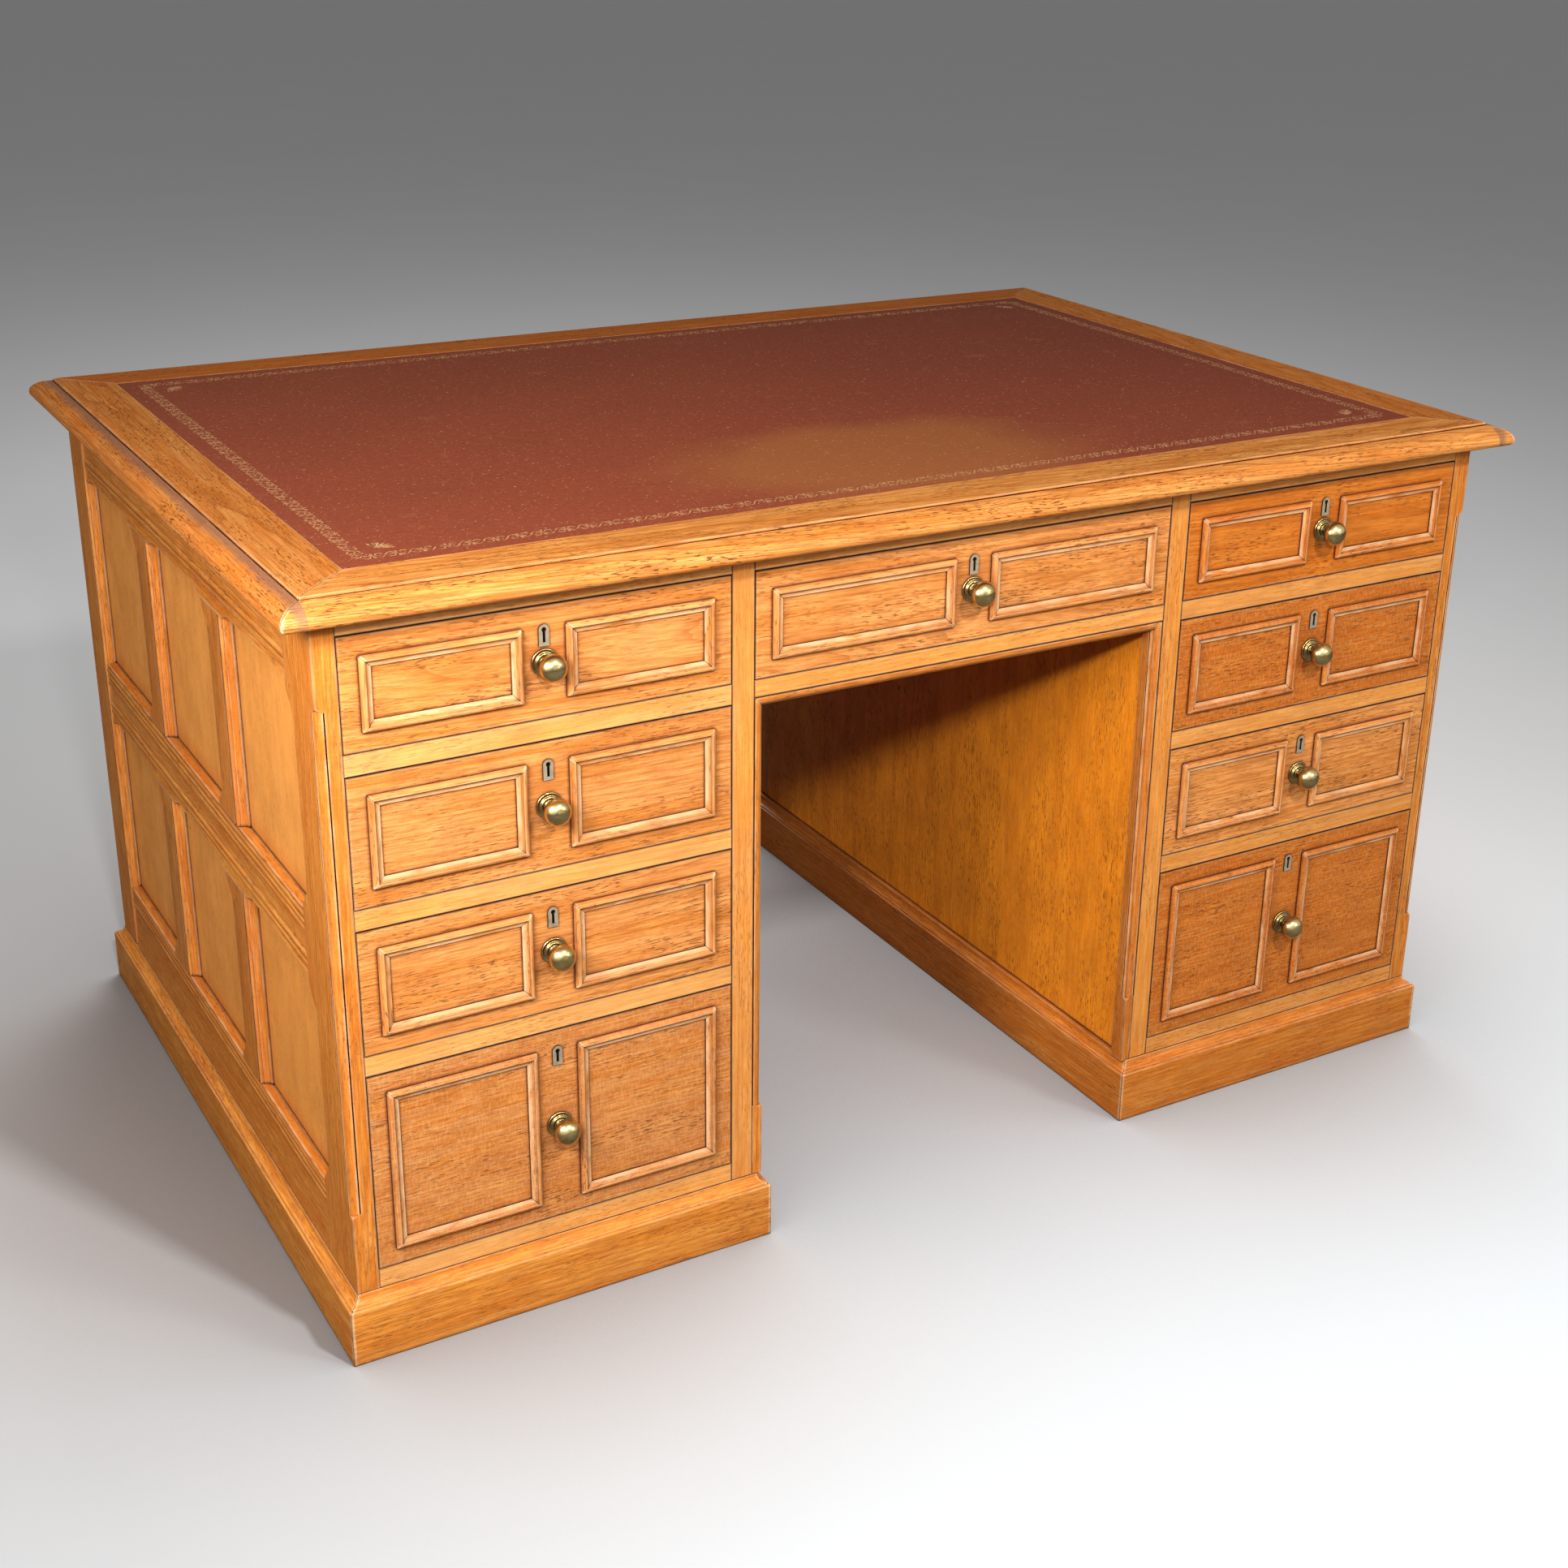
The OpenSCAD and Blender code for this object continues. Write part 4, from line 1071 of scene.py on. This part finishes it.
@dataclass
class Tooling:
    """The gold band tooled round the hide: a running scroll, with a fan in each corner.

    Attributes:
        inset: from the hide's edge to the band's outer edge.
        width: of the band.
        pitch: the length that one scroll takes.
        line: the width of a gold line.
        fan_inset: from the hide's edge to a corner fan.
        fan: the size of a corner fan.
        lift: how far the gold stands out, and how thick it is.
        steps: the points of a line.
    """

    inset: float = 16.5 * MM
    width: float = 15 * MM
    pitch: float = 23.0 * MM
    line: float = 1.05 * MM
    fan_inset: float = 46 * MM
    fan: float = 17 * MM
    lift: float = 0.04 * MM
    steps: int = 14

    def strokes(self) -> list[np.ndarray]:
        """Centre lines of one scroll, in pitches along and in widths across, as rows of x, y and line width.

        The stem is a sine. An open curl fills each of its hollows, and a leaf springs to each edge. The
        second half of the strokes is the first turned by half a turn.

        Returns:
            The strokes, which all have as many points.
        """
        t = np.linspace(0, 1, self.steps)
        turn = 2 * math.pi * (0.05 + 0.80 * t)
        shrink = 1 - 0.45 * t
        bend = np.stack([0.17 * shrink * np.cos(turn), 0.34 * shrink * np.sin(turn), -0.4 * t], 1)
        curl = bend + [0.25, 0.12, 1.2]
        leaf = np.stack([0.02 - 0.07 * t, 0.20 + 0.30 * t, 1.7 * np.sin(math.pi * t) + 0.2], 1)
        stem = np.stack([-0.5 + t, 0.40 * np.sin(2 * math.pi * t), 1.0 + 0.3 * np.cos(4 * math.pi * t)], 1)
        return [stem, curl, leaf, curl * [-1, -1, 1], leaf * [-1, -1, 1]]

    def ribbon(self, line: np.ndarray) -> tuple[np.ndarray, np.ndarray]:
        """Turns centre lines to flat ribbons.

        Each point goes half the line's width to either side, along the normal of its path, and down by
        the lift, which makes a closed strip of four sides.

        Args:
            line: ribbons by number, point and (x, y, width).
        Returns:
            Points and faces.
        """
        path, width = line[..., :2], line[..., 2:3] * self.line / 2
        along = np.gradient(path, axis=1)
        along /= np.linalg.norm(along, axis=2, keepdims=True) + 1e-12
        normal = np.stack([-along[..., 1], along[..., 0]], 2) * width
        left, right = path + normal, path - normal
        flat = np.stack([left, right, right, left], 2)
        height = np.broadcast_to(np.array([0.0, 0.0, -1.0, -1.0]) * self.lift, flat.shape[:-1])
        points = np.concatenate([flat, height[..., None]], -1)
        count, steps = line.shape[:2]
        first = (np.arange(count) * steps)[:, None, None] * 4
        i = np.arange(steps - 1)[None, :, None] * 4
        k = np.arange(4)[None, None, :]
        a, b = first + i + k, first + i + (k + 1) % 4
        sides = np.stack([a, b, b + 4, a + 4], -1).reshape(-1, 4)
        ends = np.stack([first[:, 0, 0, None] + k[0], first[:, 0, 0, None] + (steps - 1) * 4 + k[0, :, ::-1]], 1)
        return points.reshape(-1, 3), np.concatenate([sides, ends.reshape(-1, 4)])

    def run(self, start: np.ndarray, end: np.ndarray) -> np.ndarray:
        """Centre lines of the scrolls along one side of the band.

        Args:
            start: where the band's middle line starts.
            end: where it ends.
        Returns:
            Lines by number, point and (x, y, width).
        """
        length = np.linalg.norm(end - start)
        ahead = (end - start) / length
        aside = np.array([-ahead[1], ahead[0]])
        count = int(round(length / self.pitch))
        middle = (np.arange(count) + 0.5) / count * length
        unit = np.stack(self.strokes())
        along = unit[None, ..., 0] * self.pitch + middle[:, None, None]
        across = unit[None, ..., 1] * self.width
        path = start + along[..., None] * ahead + across[..., None] * aside
        width = np.broadcast_to(unit[None, ..., 2:3], (*path.shape[:-1], 1))
        return np.concatenate([path, width], -1).reshape(-1, self.steps, 3)

    def fan_lines(self, corner: np.ndarray, inwards: np.ndarray) -> np.ndarray:
        """Centre lines of a corner fan: seven petals and two arcs below them.

        Args:
            corner: the fan's foot.
            inwards: the signs of the way into the hide.
        Returns:
            Lines by number, point and (x, y, width).
        """
        t = np.linspace(0, 1, self.steps)[None, :]
        angle = np.radians(np.linspace(-12, 102, 7))[:, None]
        reach = self.fan * (0.25 + 0.75 * t)
        swell = 0.5 + 1.9 * np.sin(math.pi * t**0.8) + 0 * angle
        petals = np.stack([reach * np.cos(angle), reach * np.sin(angle), swell], -1)
        sweep = np.radians(-20 + 130 * t)
        radius = self.fan * np.array([0.16, 0.26])[:, None]
        arcs = np.stack([radius * np.cos(sweep), radius * np.sin(sweep), 1.4 + 0 * radius * sweep], -1)
        lines = np.concatenate([petals, arcs])
        lines[..., :2] = corner + lines[..., :2] * inwards
        return lines

    def make(self, finish: Material) -> Object:
        """Builds the gold band and the four fans.

        Args:
            finish: the material.
        Returns:
            The piece.
        """
        low, high = (np.array(v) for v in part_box("leather"))
        middle = self.inset + self.width / 2
        x0, y0, x1, y1 = low[0] + middle, low[1] + middle, high[0] - middle, high[1] - middle
        corners = np.array([[x0, y0], [x1, y0], [x1, y1], [x0, y1]])
        lines = [self.run(corners[k], corners[(k + 1) % 4]) for k in range(4)]
        for sx, sy in ((1, 1), (-1, 1), (-1, -1), (1, -1)):
            edge = np.array([low[0] if sx > 0 else high[0], low[1] if sy > 0 else high[1]])
            lines.append(self.fan_lines(edge + self.fan_inset * np.array([sx, sy]), np.array([sx, sy])))
        points, faces = self.ribbon(np.concatenate(lines))
        points[:, 2] += high[2] + self.lift * 0.9
        mesh = bpy.data.meshes.new("gold_tooling")
        mesh.from_pydata(points, [], faces)
        close_mesh(mesh)
        piece = add_piece("gold_tooling", mesh, finish)
        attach(piece, CARCASS)
        return piece


@dataclass
class WaxShadeLine:
    """Old dark wax that lies in the step between the border of the top and its nosing, a dark strip that also
    paints the shadow in the step.

    Attributes:
        inset: from the top's outer edge to the step.
        drop: the height of the step.
        width: how far the wax runs out on the nosing.
        rise: how high it climbs the step.
        bite, sink: how far its back lies in the step's face, and its outer edge in the nosing.
    """

    inset: float = 24 * MM
    drop: float = 3 * MM
    width: float = 1.5 * MM
    rise: float = 1.1 * MM
    bite: float = 0.3 * MM
    sink: float = 0.25 * MM

    def make(self, finish: Material) -> Object:
        """Builds the line: a hollow fillet of five points, swept round the four sides with mitred corners.

        Args:
            finish: the material.
        Returns:
            The piece.
        """
        low, high = (np.array(v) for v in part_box("top_border"))
        t = np.linspace(0, 1, 5)
        out = np.append(self.width * (1 - np.cos(t * math.pi / 2)), -self.bite)
        up = np.append(self.rise * (1 - np.sin(t * math.pi / 2)), 0.0) - self.sink * np.append(t, 0)
        signs = np.array([[-1, -1], [1, -1], [1, 1], [-1, 1]])
        half, middle = (high - low)[:2] / 2 - self.inset, (high + low)[:2] / 2
        points = np.empty((4, len(out), 3))
        points[..., :2] = middle + signs[:, None, :] * (half + out[None, :, None])
        points[..., 2] = high[2] - self.drop + up
        mesh = grid_mesh("wax_shade_line", points, close_u=True, close_v=True)
        round_faces(mesh, 60.0)
        piece = add_piece("wax_shade_line", mesh, finish)
        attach(piece, CARCASS)
        return piece


@dataclass
class TurnedKnob:
    """A brass knob on a ringed rose, turned about an axis along Y.

    Attributes:
        node: the CAD node of the knob.
        body: the drawer that it rides on.
        facets: facets round the axis.
        flat: the knob's half depth as a share of its radius.
        rose: the rose's radius.
        neck: the neck's radius.
        worn_at, worn_by: shares of the way to the knob's middle, and how far the brass is left unpolished there,
        which also paints a dark reflection on its rim.
    """

    node: str
    body: str
    facets: int = 56
    flat: float = 0.8
    rose: float = 13 * MM
    neck: float = 5 * MM
    worn_at: tuple[float, ...] = (0.2, 0.21, 0.75, 1.25)
    worn_by: tuple[float, ...] = (0.15, 1.0, 1.0, 0.0)

    def profile(self, ball: float, out: float) -> np.ndarray:
        """The knob's outline as rows of radius and distance from the drawer's face.

        The rose has a rim and a ring, each beside a hollow. The knob is an ellipse with a flat cap.

        Args:
            ball: the knob's radius.
            out: how far the knob stands out.
        Returns:
            The outline from the axis at the face to the axis at the front.
        """
        rose, neck, flat = self.rose, self.neck, ball * self.flat
        middle = out - flat
        return np.concatenate(
            [
                [[0.0, 0.0], [rose - 0.2 * MM, 0.0]],
                # The rose's rim, a hollow, its ring and a second hollow
                arc((rose - 0.9 * MM, 0.9 * MM), (0.9 * MM, 0.9 * MM), (-20, 95), 6),
                arc((rose - 2.6 * MM, 2.1 * MM), (0.9 * MM, 0.6 * MM), (270, 180), 4),
                arc((rose - 5.0 * MM, 2.3 * MM), (1.4 * MM, 1.4 * MM), (10, 110), 7),
                arc((rose - 6.4 * MM, 4.2 * MM), (1.2 * MM, 0.9 * MM), (300, 180), 5),
                # The neck, the knob, and its cap below a fine step
                arc((neck + 1.7 * MM, 6.2 * MM), (1.7 * MM, 1.5 * MM), (230, 180), 4),
                arc((0.0, middle), (ball, flat), (-62, 62), 26),
                arc((0.0, middle), (ball * 0.985, flat * 0.985), (66, 90), 8),
            ]
        )

    def make(self, finish: Material) -> Object:
        """Builds the knob by turning the outline: radius times cosine and sine about the axis.

        Args:
            finish: the material.
        Returns:
            The piece.
        """
        low, high = (np.array(v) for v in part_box(self.node))
        centre = (low + high) / 2
        face = float(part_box(self.node.replace("knob", "front"))[0][1]) + PROUD
        radius = (high[0] - low[0]) / 2
        outline = self.profile(radius, face - low[1])
        angle = np.linspace(0, 2 * math.pi, self.facets, endpoint=False)[:, None]
        points = np.stack(
            [
                centre[0] + outline[None, :, 0] * np.cos(angle),
                face - outline[None, :, 1] + 0 * angle,
                centre[2] + outline[None, :, 0] * np.sin(angle),
            ],
            -1,
        )
        mesh = grid_mesh(self.node + "_turned", points, close_u=True)
        equator = face - low[1] - self.flat * radius
        spots = np.empty(len(mesh.vertices) * 3)
        mesh.vertices.foreach_get("co", spots)
        # Unpolished brass toward the back, which also paints a dark reflection on the rim
        unrubbed = np.interp(face - spots[1::3], np.array(self.worn_at) * equator, self.worn_by)
        mesh.attributes.new("unrubbed", "FLOAT", "POINT").data.foreach_set("value", unrubbed)
        round_faces(mesh, 48.0)
        piece = add_piece(mesh.name, mesh, finish)
        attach(piece, self.body)
        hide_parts(self.node)
        return piece


@dataclass
class KeyholeShadeCurtain:
    """The lock's curtain of black iron, seen through the keyhole: it closes the hole behind the plate, and its
    near black paints the shade in the keyhole.

    Attributes:
        node: the CAD node of the lock.
        body: the drawer that it rides on.
        drop: from the lock's top to the middle of the keyhole's round.
        deep: how far the curtain lies behind the drawer's face.
        eye: the radius of the keyhole's round.
        slot: half the width of its slot.
        foot: the length of the slot.
    """

    node: str
    body: str
    drop: float = 22.5 * MM
    deep: float = 1.5 * MM
    eye: float = 2.3 * MM
    slot: float = 1.3 * MM
    foot: float = 12 * MM

    def outline(self) -> np.ndarray:
        """The keyhole: an arc of the round, cut off where the slot starts, and the slot's two lower corners.

        Returns:
            The outline as rows of two.
        """
        start = math.degrees(math.asin(self.slot / self.eye)) - 90
        low = np.array([[-self.slot, -self.foot], [self.slot, -self.foot]])
        return np.concatenate([arc((0.0, 0.0), (self.eye, self.eye), (start, 180 - start), 19), low])

    def make(self, finish: Material) -> Object:
        """Builds the curtain: the outline times a share, swept from a flat back to a slightly domed front.

        Args:
            finish: the material.
        Returns:
            The piece.
        """
        low, high = (np.array(v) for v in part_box(self.node))
        share = np.array([0.0, 1.0, 1.0, 0.6, 0.0])[None, :]
        behind = np.array([1.5, 1.5, 0.2, 0.05, 0.0])[None, :] * MM + self.deep
        outline = self.outline()[:, None, :]
        face = float(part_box(self.node.replace("lock", "front"))[0][1]) + PROUD
        points = np.stack(
            [
                (low[0] + high[0]) / 2 + outline[..., 0] * share,
                face + behind + 0 * outline[..., 0],
                high[2] - self.drop - self.eye + (outline[..., 1] + self.eye) * share,
            ],
            -1,
        )
        mesh = grid_mesh(self.node + "_curtain", points, close_u=True)
        piece = add_piece(mesh.name, mesh, finish)
        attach(piece, self.body)
        return piece


@dataclass
class Top:
    """The top: mitred border boards with their nosing, the panel, the hide and its gold tooling.

    Attributes:
        arris: what is taken off the border's edges.
        fine_arris: what is taken off the edges of the small moulding below it.
    """

    arris: float = 0.8 * MM
    fine_arris: float = 0.3 * MM

    def make(self) -> None:
        """Builds the top's pieces."""
        wood, bare = Finish.TOP.material(), Finish.BARE.material()
        # The border darkens to the back: partly the wood, partly painted shade of the lamps' fall-off
        border = Board(cut=Cut.FLAT, tone=0.5, spread=0.08, lean=(0.1, 0.9))
        Joinery("top_border", border, "oak_top", arris=self.arris).make(wood)
        Joinery("top_panel", Board(tone=0.5), "oak_inside").make(bare)
        Joinery("top_moulding", Board(tone=0.7), "oak_top", arris=self.fine_arris).make(wood)
        Hide().make(Finish.HIDE.material())
        Tooling().make(Finish.GOLD.material())
        WaxShadeLine().make(Finish.WAX.material())


@dataclass
class Carcass:
    """Both pedestals with their panelled sides and back, the front frame, the base and the inside.

    Attributes:
        fine_arris: what is taken off the edges of the kneehole's moulding.
        arris: what is taken off the edges of the frames.
        plinth_arris: what is taken off the edges of the plinths, which feet have worn.
    """

    fine_arris: float = 0.4 * MM
    arris: float = 0.6 * MM
    plinth_arris: float = 0.8 * MM

    def make(self) -> None:
        """Builds the carcass's pieces: for each, its node, timber, slot, arris and finish."""
        side, panel = Board(tone=0.35), Board(Axis.UPRIGHT, Cut.QUARTER, 0.4)
        lining = Board(Axis.UPRIGHT, Cut.QUARTER, 0.35, 0.1)
        # The front, its bead and the plinths darken to the right: partly the wood, partly painted shade of the
        # lamps' fall-off
        front = Board(tone=0.3, spread=0.1, lean=(0.5, 0.0), stile=0.45)
        plinth = Board(tone=0.35, spread=0.08, lean=(0.5, 0.0))
        for node, board, slot, arris, finish in (
            ("left_side_frame", side, "oak_frame", self.arris, Finish.FRAME),
            ("right_side_frame", side, "oak_frame", self.arris, Finish.FRAME),
            ("side_panels", panel, "oak_panel", self.arris, Finish.PANEL),
            ("front_frame", front, "oak_rail", self.arris, Finish.RAIL),
            ("kneehole_bead", Board(tone=0.45, lean=(0.3, 0.0)), "oak_rail", self.fine_arris, Finish.FRAME),
            ("inner_sides", lining, "oak_panel", self.arris, Finish.LINING),
            ("back_frame", Board(tone=0.4), "oak_frame", self.arris, Finish.FRAME),
            ("back_panels", panel, "oak_panel", self.arris, Finish.PANEL),
            ("plinths", plinth, "oak_frame", self.plinth_arris, Finish.FRAME),
            ("runners", Board(tone=0.5), "oak_inside", self.arris, Finish.BARE),
            ("bottom_boards", Board(Axis.ACROSS), "oak_inside", self.arris, Finish.BARE),
        ):
            Joinery(node, board, slot, arris=arris).make(finish.material())


@dataclass
class Drawer:
    """One drawer: its front with the planted mouldings, the dovetailed box, knob, lock and bolt.

    Attributes:
        name: the drawer's name in the frame.
        tone: how dark its front is.
        cut: how its front was sawn.
        finish: the stain of its front.
        front_arris, box_arris: what is taken off the edges of the front and of the box.
    """

    name: str
    tone: float
    cut: Cut
    finish: Finish
    front_arris: float = 0.5 * MM
    box_arris: float = 0.4 * MM

    def make(self) -> None:
        """Builds the drawer's pieces."""
        body = self.name + "_drawer"
        board = Board(cut=self.cut, tone=self.tone, spread=0.04, trim=-0.1)
        front = Joinery(self.name + "_front", board, "oak_drawer", body, self.front_arris)
        front.make(self.finish.material())
        box = Joinery(self.name + "_box", Board(tone=0.4), "oak_inside", body, self.box_arris)
        box.make(Finish.BARE.material())
        TurnedKnob(self.name + "_knob", body).make(Finish.BRASS.material())
        self.dress(self.name + "_lock", Finish.PLATE.material())
        KeyholeShadeCurtain(self.name + "_lock", body).make(Finish.IRON.material())
        self.dress(self.name + "_bolt", Finish.STEEL.material())

    @staticmethod
    def dress(node: str, finish: Material) -> None:
        """Gives a CAD node that stays its material.

        Args:
            node: the node.
            finish: its material.
        """
        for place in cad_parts[node].material_slots:
            place.link = "OBJECT"
            place.material = finish


@dataclass
class Studio:
    """The camera, the lamps and the floor.

    The camera's place and angles were fitted to the desk's corners in the photograph.

    Attributes:
        place: the camera's place.
        yaw, pitch, roll: its angles in radians.
        focal: its focal length in pixels of the photograph.
        centre: the pixel that it points at.
        sensor: the width of its sensor in millimetres.
    """

    place: tuple[float, float, float] = (-1.1884, -2.1649, 1.3565)
    yaw: float = 0.5414
    pitch: float = 0.3863
    roll: float = -0.0211
    focal: float = 2709.5
    centre: tuple[float, float] = (1032.9, 918.1)
    sensor: float = 36.0

    def camera(self) -> None:
        """Sets the camera: its axes are the view, turned by the roll about itself."""
        level_share = math.cos(self.pitch)
        ahead = Vector((math.sin(self.yaw) * level_share, math.cos(self.yaw) * level_share, -math.sin(self.pitch)))
        level = Vector((math.cos(self.yaw), -math.sin(self.yaw), 0.0))
        down = ahead.cross(level)
        right = level * math.cos(self.roll) + down * math.sin(self.roll)
        below = down * math.cos(self.roll) - level * math.sin(self.roll)
        data = bpy.data.cameras.new("camera")
        data.sensor_width = self.sensor
        data.lens = self.sensor * self.focal / PHOTO_SIDE
        data.shift_x = (PHOTO_SIDE / 2 - self.centre[0]) / PHOTO_SIDE
        data.shift_y = (self.centre[1] - PHOTO_SIDE / 2) / PHOTO_SIDE
        camera = bpy.data.objects.new("camera", data)
        turn = Matrix((right, -below, -ahead)).transposed()
        camera.matrix_world = Matrix.Translation(self.place) @ turn.to_4x4()
        bpy.context.scene.collection.objects.link(camera)
        bpy.context.scene.camera = camera

    @staticmethod
    def lamp(name: str, place: Place, target: Place, size: float, power: float) -> Object:
        """Adds a soft white lamp.

        Args:
            name: the lamp's name.
            place: where it hangs.
            target: the point that it faces.
            size: both its sides.
            power: in watts.
        Returns:
            The lamp, which isn't seen itself.
        """
        data = bpy.data.lights.new(name, "AREA")
        data.shape = "RECTANGLE"
        data.size = data.size_y = size
        data.energy = power
        lamp = bpy.data.objects.new(name, data)
        lamp.location = place
        lamp.rotation_euler = (Vector(target) - Vector(place)).to_track_quat("-Z", "Y").to_euler()
        lamp.visible_camera = False
        bpy.context.scene.collection.objects.link(lamp)
        return lamp

    @staticmethod
    def only(pieces: list[Object], state: str) -> Collection:
        """Makes a list for a lamp that lights only some pieces, or leaves out the first.

        Args:
            pieces: the pieces.
            state: INCLUDE, or EXCLUDE to leave out the first.
        Returns:
            The list.
        """
        chosen = bpy.data.collections.new(f"{state.lower()}_{pieces[0].name}")
        for piece in pieces:
            chosen.objects.link(piece)
        chosen.collection_objects[0].light_linking.link_state = state
        return chosen

    def lamps(self, floor: Object) -> None:
        """Hangs the lamps at the front, one for the floor behind the desk, and lights the room.

        Args:
            floor: the floor, which the lamp at the left side leaves out.
        """
        self.lamp("camera_softbox", (-1.05, -2.1, 1.66), (0.1, -0.3, 0.4), 0.14, 22.0)
        self.lamp("high_softbox", (0.1, -2.24, 2.28), (0.0, -0.3, 0.5), 0.2, 38.0)
        self.lamp("right_softbox", (1.3, -2.6, 1.5), (0.4, -0.4, 0.35), 0.5, 17.0)
        side = self.lamp("left_softbox", (-1.35, -1.0, 1.2), (-0.5, 0.0, 0.3), 0.4, 24.0)
        side.light_linking.receiver_collection = self.only([floor], "EXCLUDE")
        behind = self.lamp("back_softbox", (0.6, 1.7, 2.7), (0.6, 1.6, 0.0), 1.5, 30.0)
        behind.light_linking.receiver_collection = self.only([floor], "INCLUDE")
        self.room()

    def side_lamps(self) -> None:
        """Hangs a lamp beside the camera's for the kneehole, and two behind for the sides that it doesn't show.

        Each lights only the boards of its nodes.
        """
        rear = ("back_frame", "back_panels", "plinths", "right_side_frame", "side_panels", "top_moulding")
        for name, place, target, size, power, nodes in (
            ("kneehole_softbox", (-1.1, -2.0, 1.6), (0.236, -0.3, 0.3), 0.16, 33.0, ("inner_sides",)),
            ("rear_softbox", (0.9, 2.7, 1.7), (0.1, 0.4, 0.4), 0.8, 30.0, rear),
            ("far_side_softbox", (2.5, 0.3, 1.5), (0.6, 0.0, 0.4), 0.8, 26.0, rear),
        ):
            pieces = [bpy.data.objects[f"{node}_boards"] for node in nodes]
            lamp = self.lamp(name, place, target, size, power)
            lamp.light_linking.receiver_collection = self.only(pieces, "INCLUDE")

    @staticmethod
    def room() -> None:
        """Lights the room: for matt faces from above, and for glossy ones more from the front than the back."""
        world = bpy.data.worlds.new("room")
        world.use_nodes = True
        tree = world.node_tree
        tree.nodes.clear()
        where = add_node(tree, "TexCoord").outputs["Generated"]
        axes = add_node(tree, "SeparateXYZ", {0: where}).outputs
        fade = {"Value": axes["Y"], "From Min": 0.5, "From Max": -0.7, "To Min": 0.05, "To Max": 0.8}
        front = add_node(tree, "MapRange", fade)
        fade = {"Value": axes["Z"], "From Min": 0.35, "From Max": 1.0, "To Min": 0.05, "To Max": 0.30}
        above = add_node(tree, "MapRange", fade)
        rays = add_node(tree, "LightPath").outputs
        strength = add_node(tree, "Mix", {0: rays["Is Glossy Ray"], 2: above, 3: front}, data_type="FLOAT")
        strength = add_node(tree, "Mix", {0: rays["Is Camera Ray"], 2: strength, 3: 0.16}, data_type="FLOAT")
        light = add_node(tree, "Background", {"Color": "#ffffff", "Strength": strength})
        add_node(tree, "OutputWorld", {"Surface": light})
        bpy.context.scene.world = world

    @staticmethod
    def floor() -> Object:
        """Lays a plain pale floor, so wide that it is the background as well, with painted shade under the desk.

        It is cooler near the camera, which paints out the warm light that the desk throws on it, grey where it is
        only reflected or throws light back, which paints shade into that light, and darker where the desk covers
        it, a painted shade.

        Returns:
            The floor.
        """
        corners = np.array([[-1, -1, 0], [1, -1, 0], [1, 1, 0], [-1, 1, 0]]) * 40.0
        mesh = bpy.data.meshes.new("floor")
        mesh.from_pydata(corners, [], [[0, 1, 2, 3]])
        # Matt paint gives no shine, so that only the desk's soft shadow shows on it
        material, tree = new_material("pale_paint")
        where = add_node(tree, "TexCoord").outputs["Object"]
        grain = add_node(tree, "TexNoise", {"Vector": where, "Scale": 3.0, "Detail": 2.0})
        # Cooler towards the camera, which paints out the warm light that the desk throws on the floor
        away = add_node(tree, "VectorMath", {0: where, 1: (0.0, -1.3, 0.0)}, operation="DISTANCE").outputs["Value"]
        near = add_node(tree, "MapRange", {"Value": away, "From Min": 2.2, "From Max": 0.6})
        colour = lay_over(tree, "#efefef", ((grain, 1.0, "#f3f3f3"), (near, 1.0, "#f3fbff")))
        # Grey for all but camera rays: painted shade in what the floor reflects and throws back onto the desk
        seen = add_node(tree, "LightPath").outputs["Is Camera Ray"]
        colour = add_node(tree, "Mix", {0: seen, 6: "#707070", 7: colour}, data_type="RGBA")
        # Painted shade under and near the desk, by how much of the half sphere above the floor is covered
        under = add_node(tree, "AmbientOcclusion", {"Distance": 0.5}, samples=8).outputs["AO"]
        shade = add_node(tree, "MapRange", {"Value": under, "From Min": 0.95, "From Max": 0.25})
        finish_material(tree, {"Base Color": lay_over(tree, colour, ((shade, 0.8, "#505050"),)), "Roughness": 0.75})
        floor = add_piece("floor", mesh, material)
        return floor

    def make(self) -> None:
        """Sets up the camera, lamps and floor."""
        self.camera()
        self.lamps(self.floor())
        bpy.context.scene.view_settings.view_transform = "Standard"


# The tone, the cut and the stain of each drawer's front, as the photograph shows them
DRAWERS = {
    "left_1": (0.10, Cut.FLAT, Finish.DRAWER),
    "left_2": (0.25, Cut.RIFT, Finish.DRAWER),
    "left_3": (0.18, Cut.RIFT, Finish.DRAWER),
    "left_4": (0.70, Cut.QUARTER, Finish.DRAWER),
    "centre": (0.15, Cut.FLAT, Finish.DRAWER),
    "right_1": (0.45, Cut.FLAT, Finish.DEEP_DRAWER),
    "right_2": (0.75, Cut.QUARTER, Finish.DEEP_DRAWER),
    "right_3": (0.0, Cut.RIFT, Finish.DRAWER),
    "right_4": (0.70, Cut.QUARTER, Finish.DEEP_DRAWER),
}


def main() -> None:
    """Builds the desk's visual model and its studio in order, and reports each piece."""
    logging.basicConfig(level=logging.INFO, format="%(message)s")
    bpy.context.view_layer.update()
    studio = Studio()
    studio.make()
    Top().make()
    Carcass().make()
    studio.side_lamps()
    for name, facts in DRAWERS.items():
        Drawer(name, *facts).make()


if __name__ == "__main__":
    main()
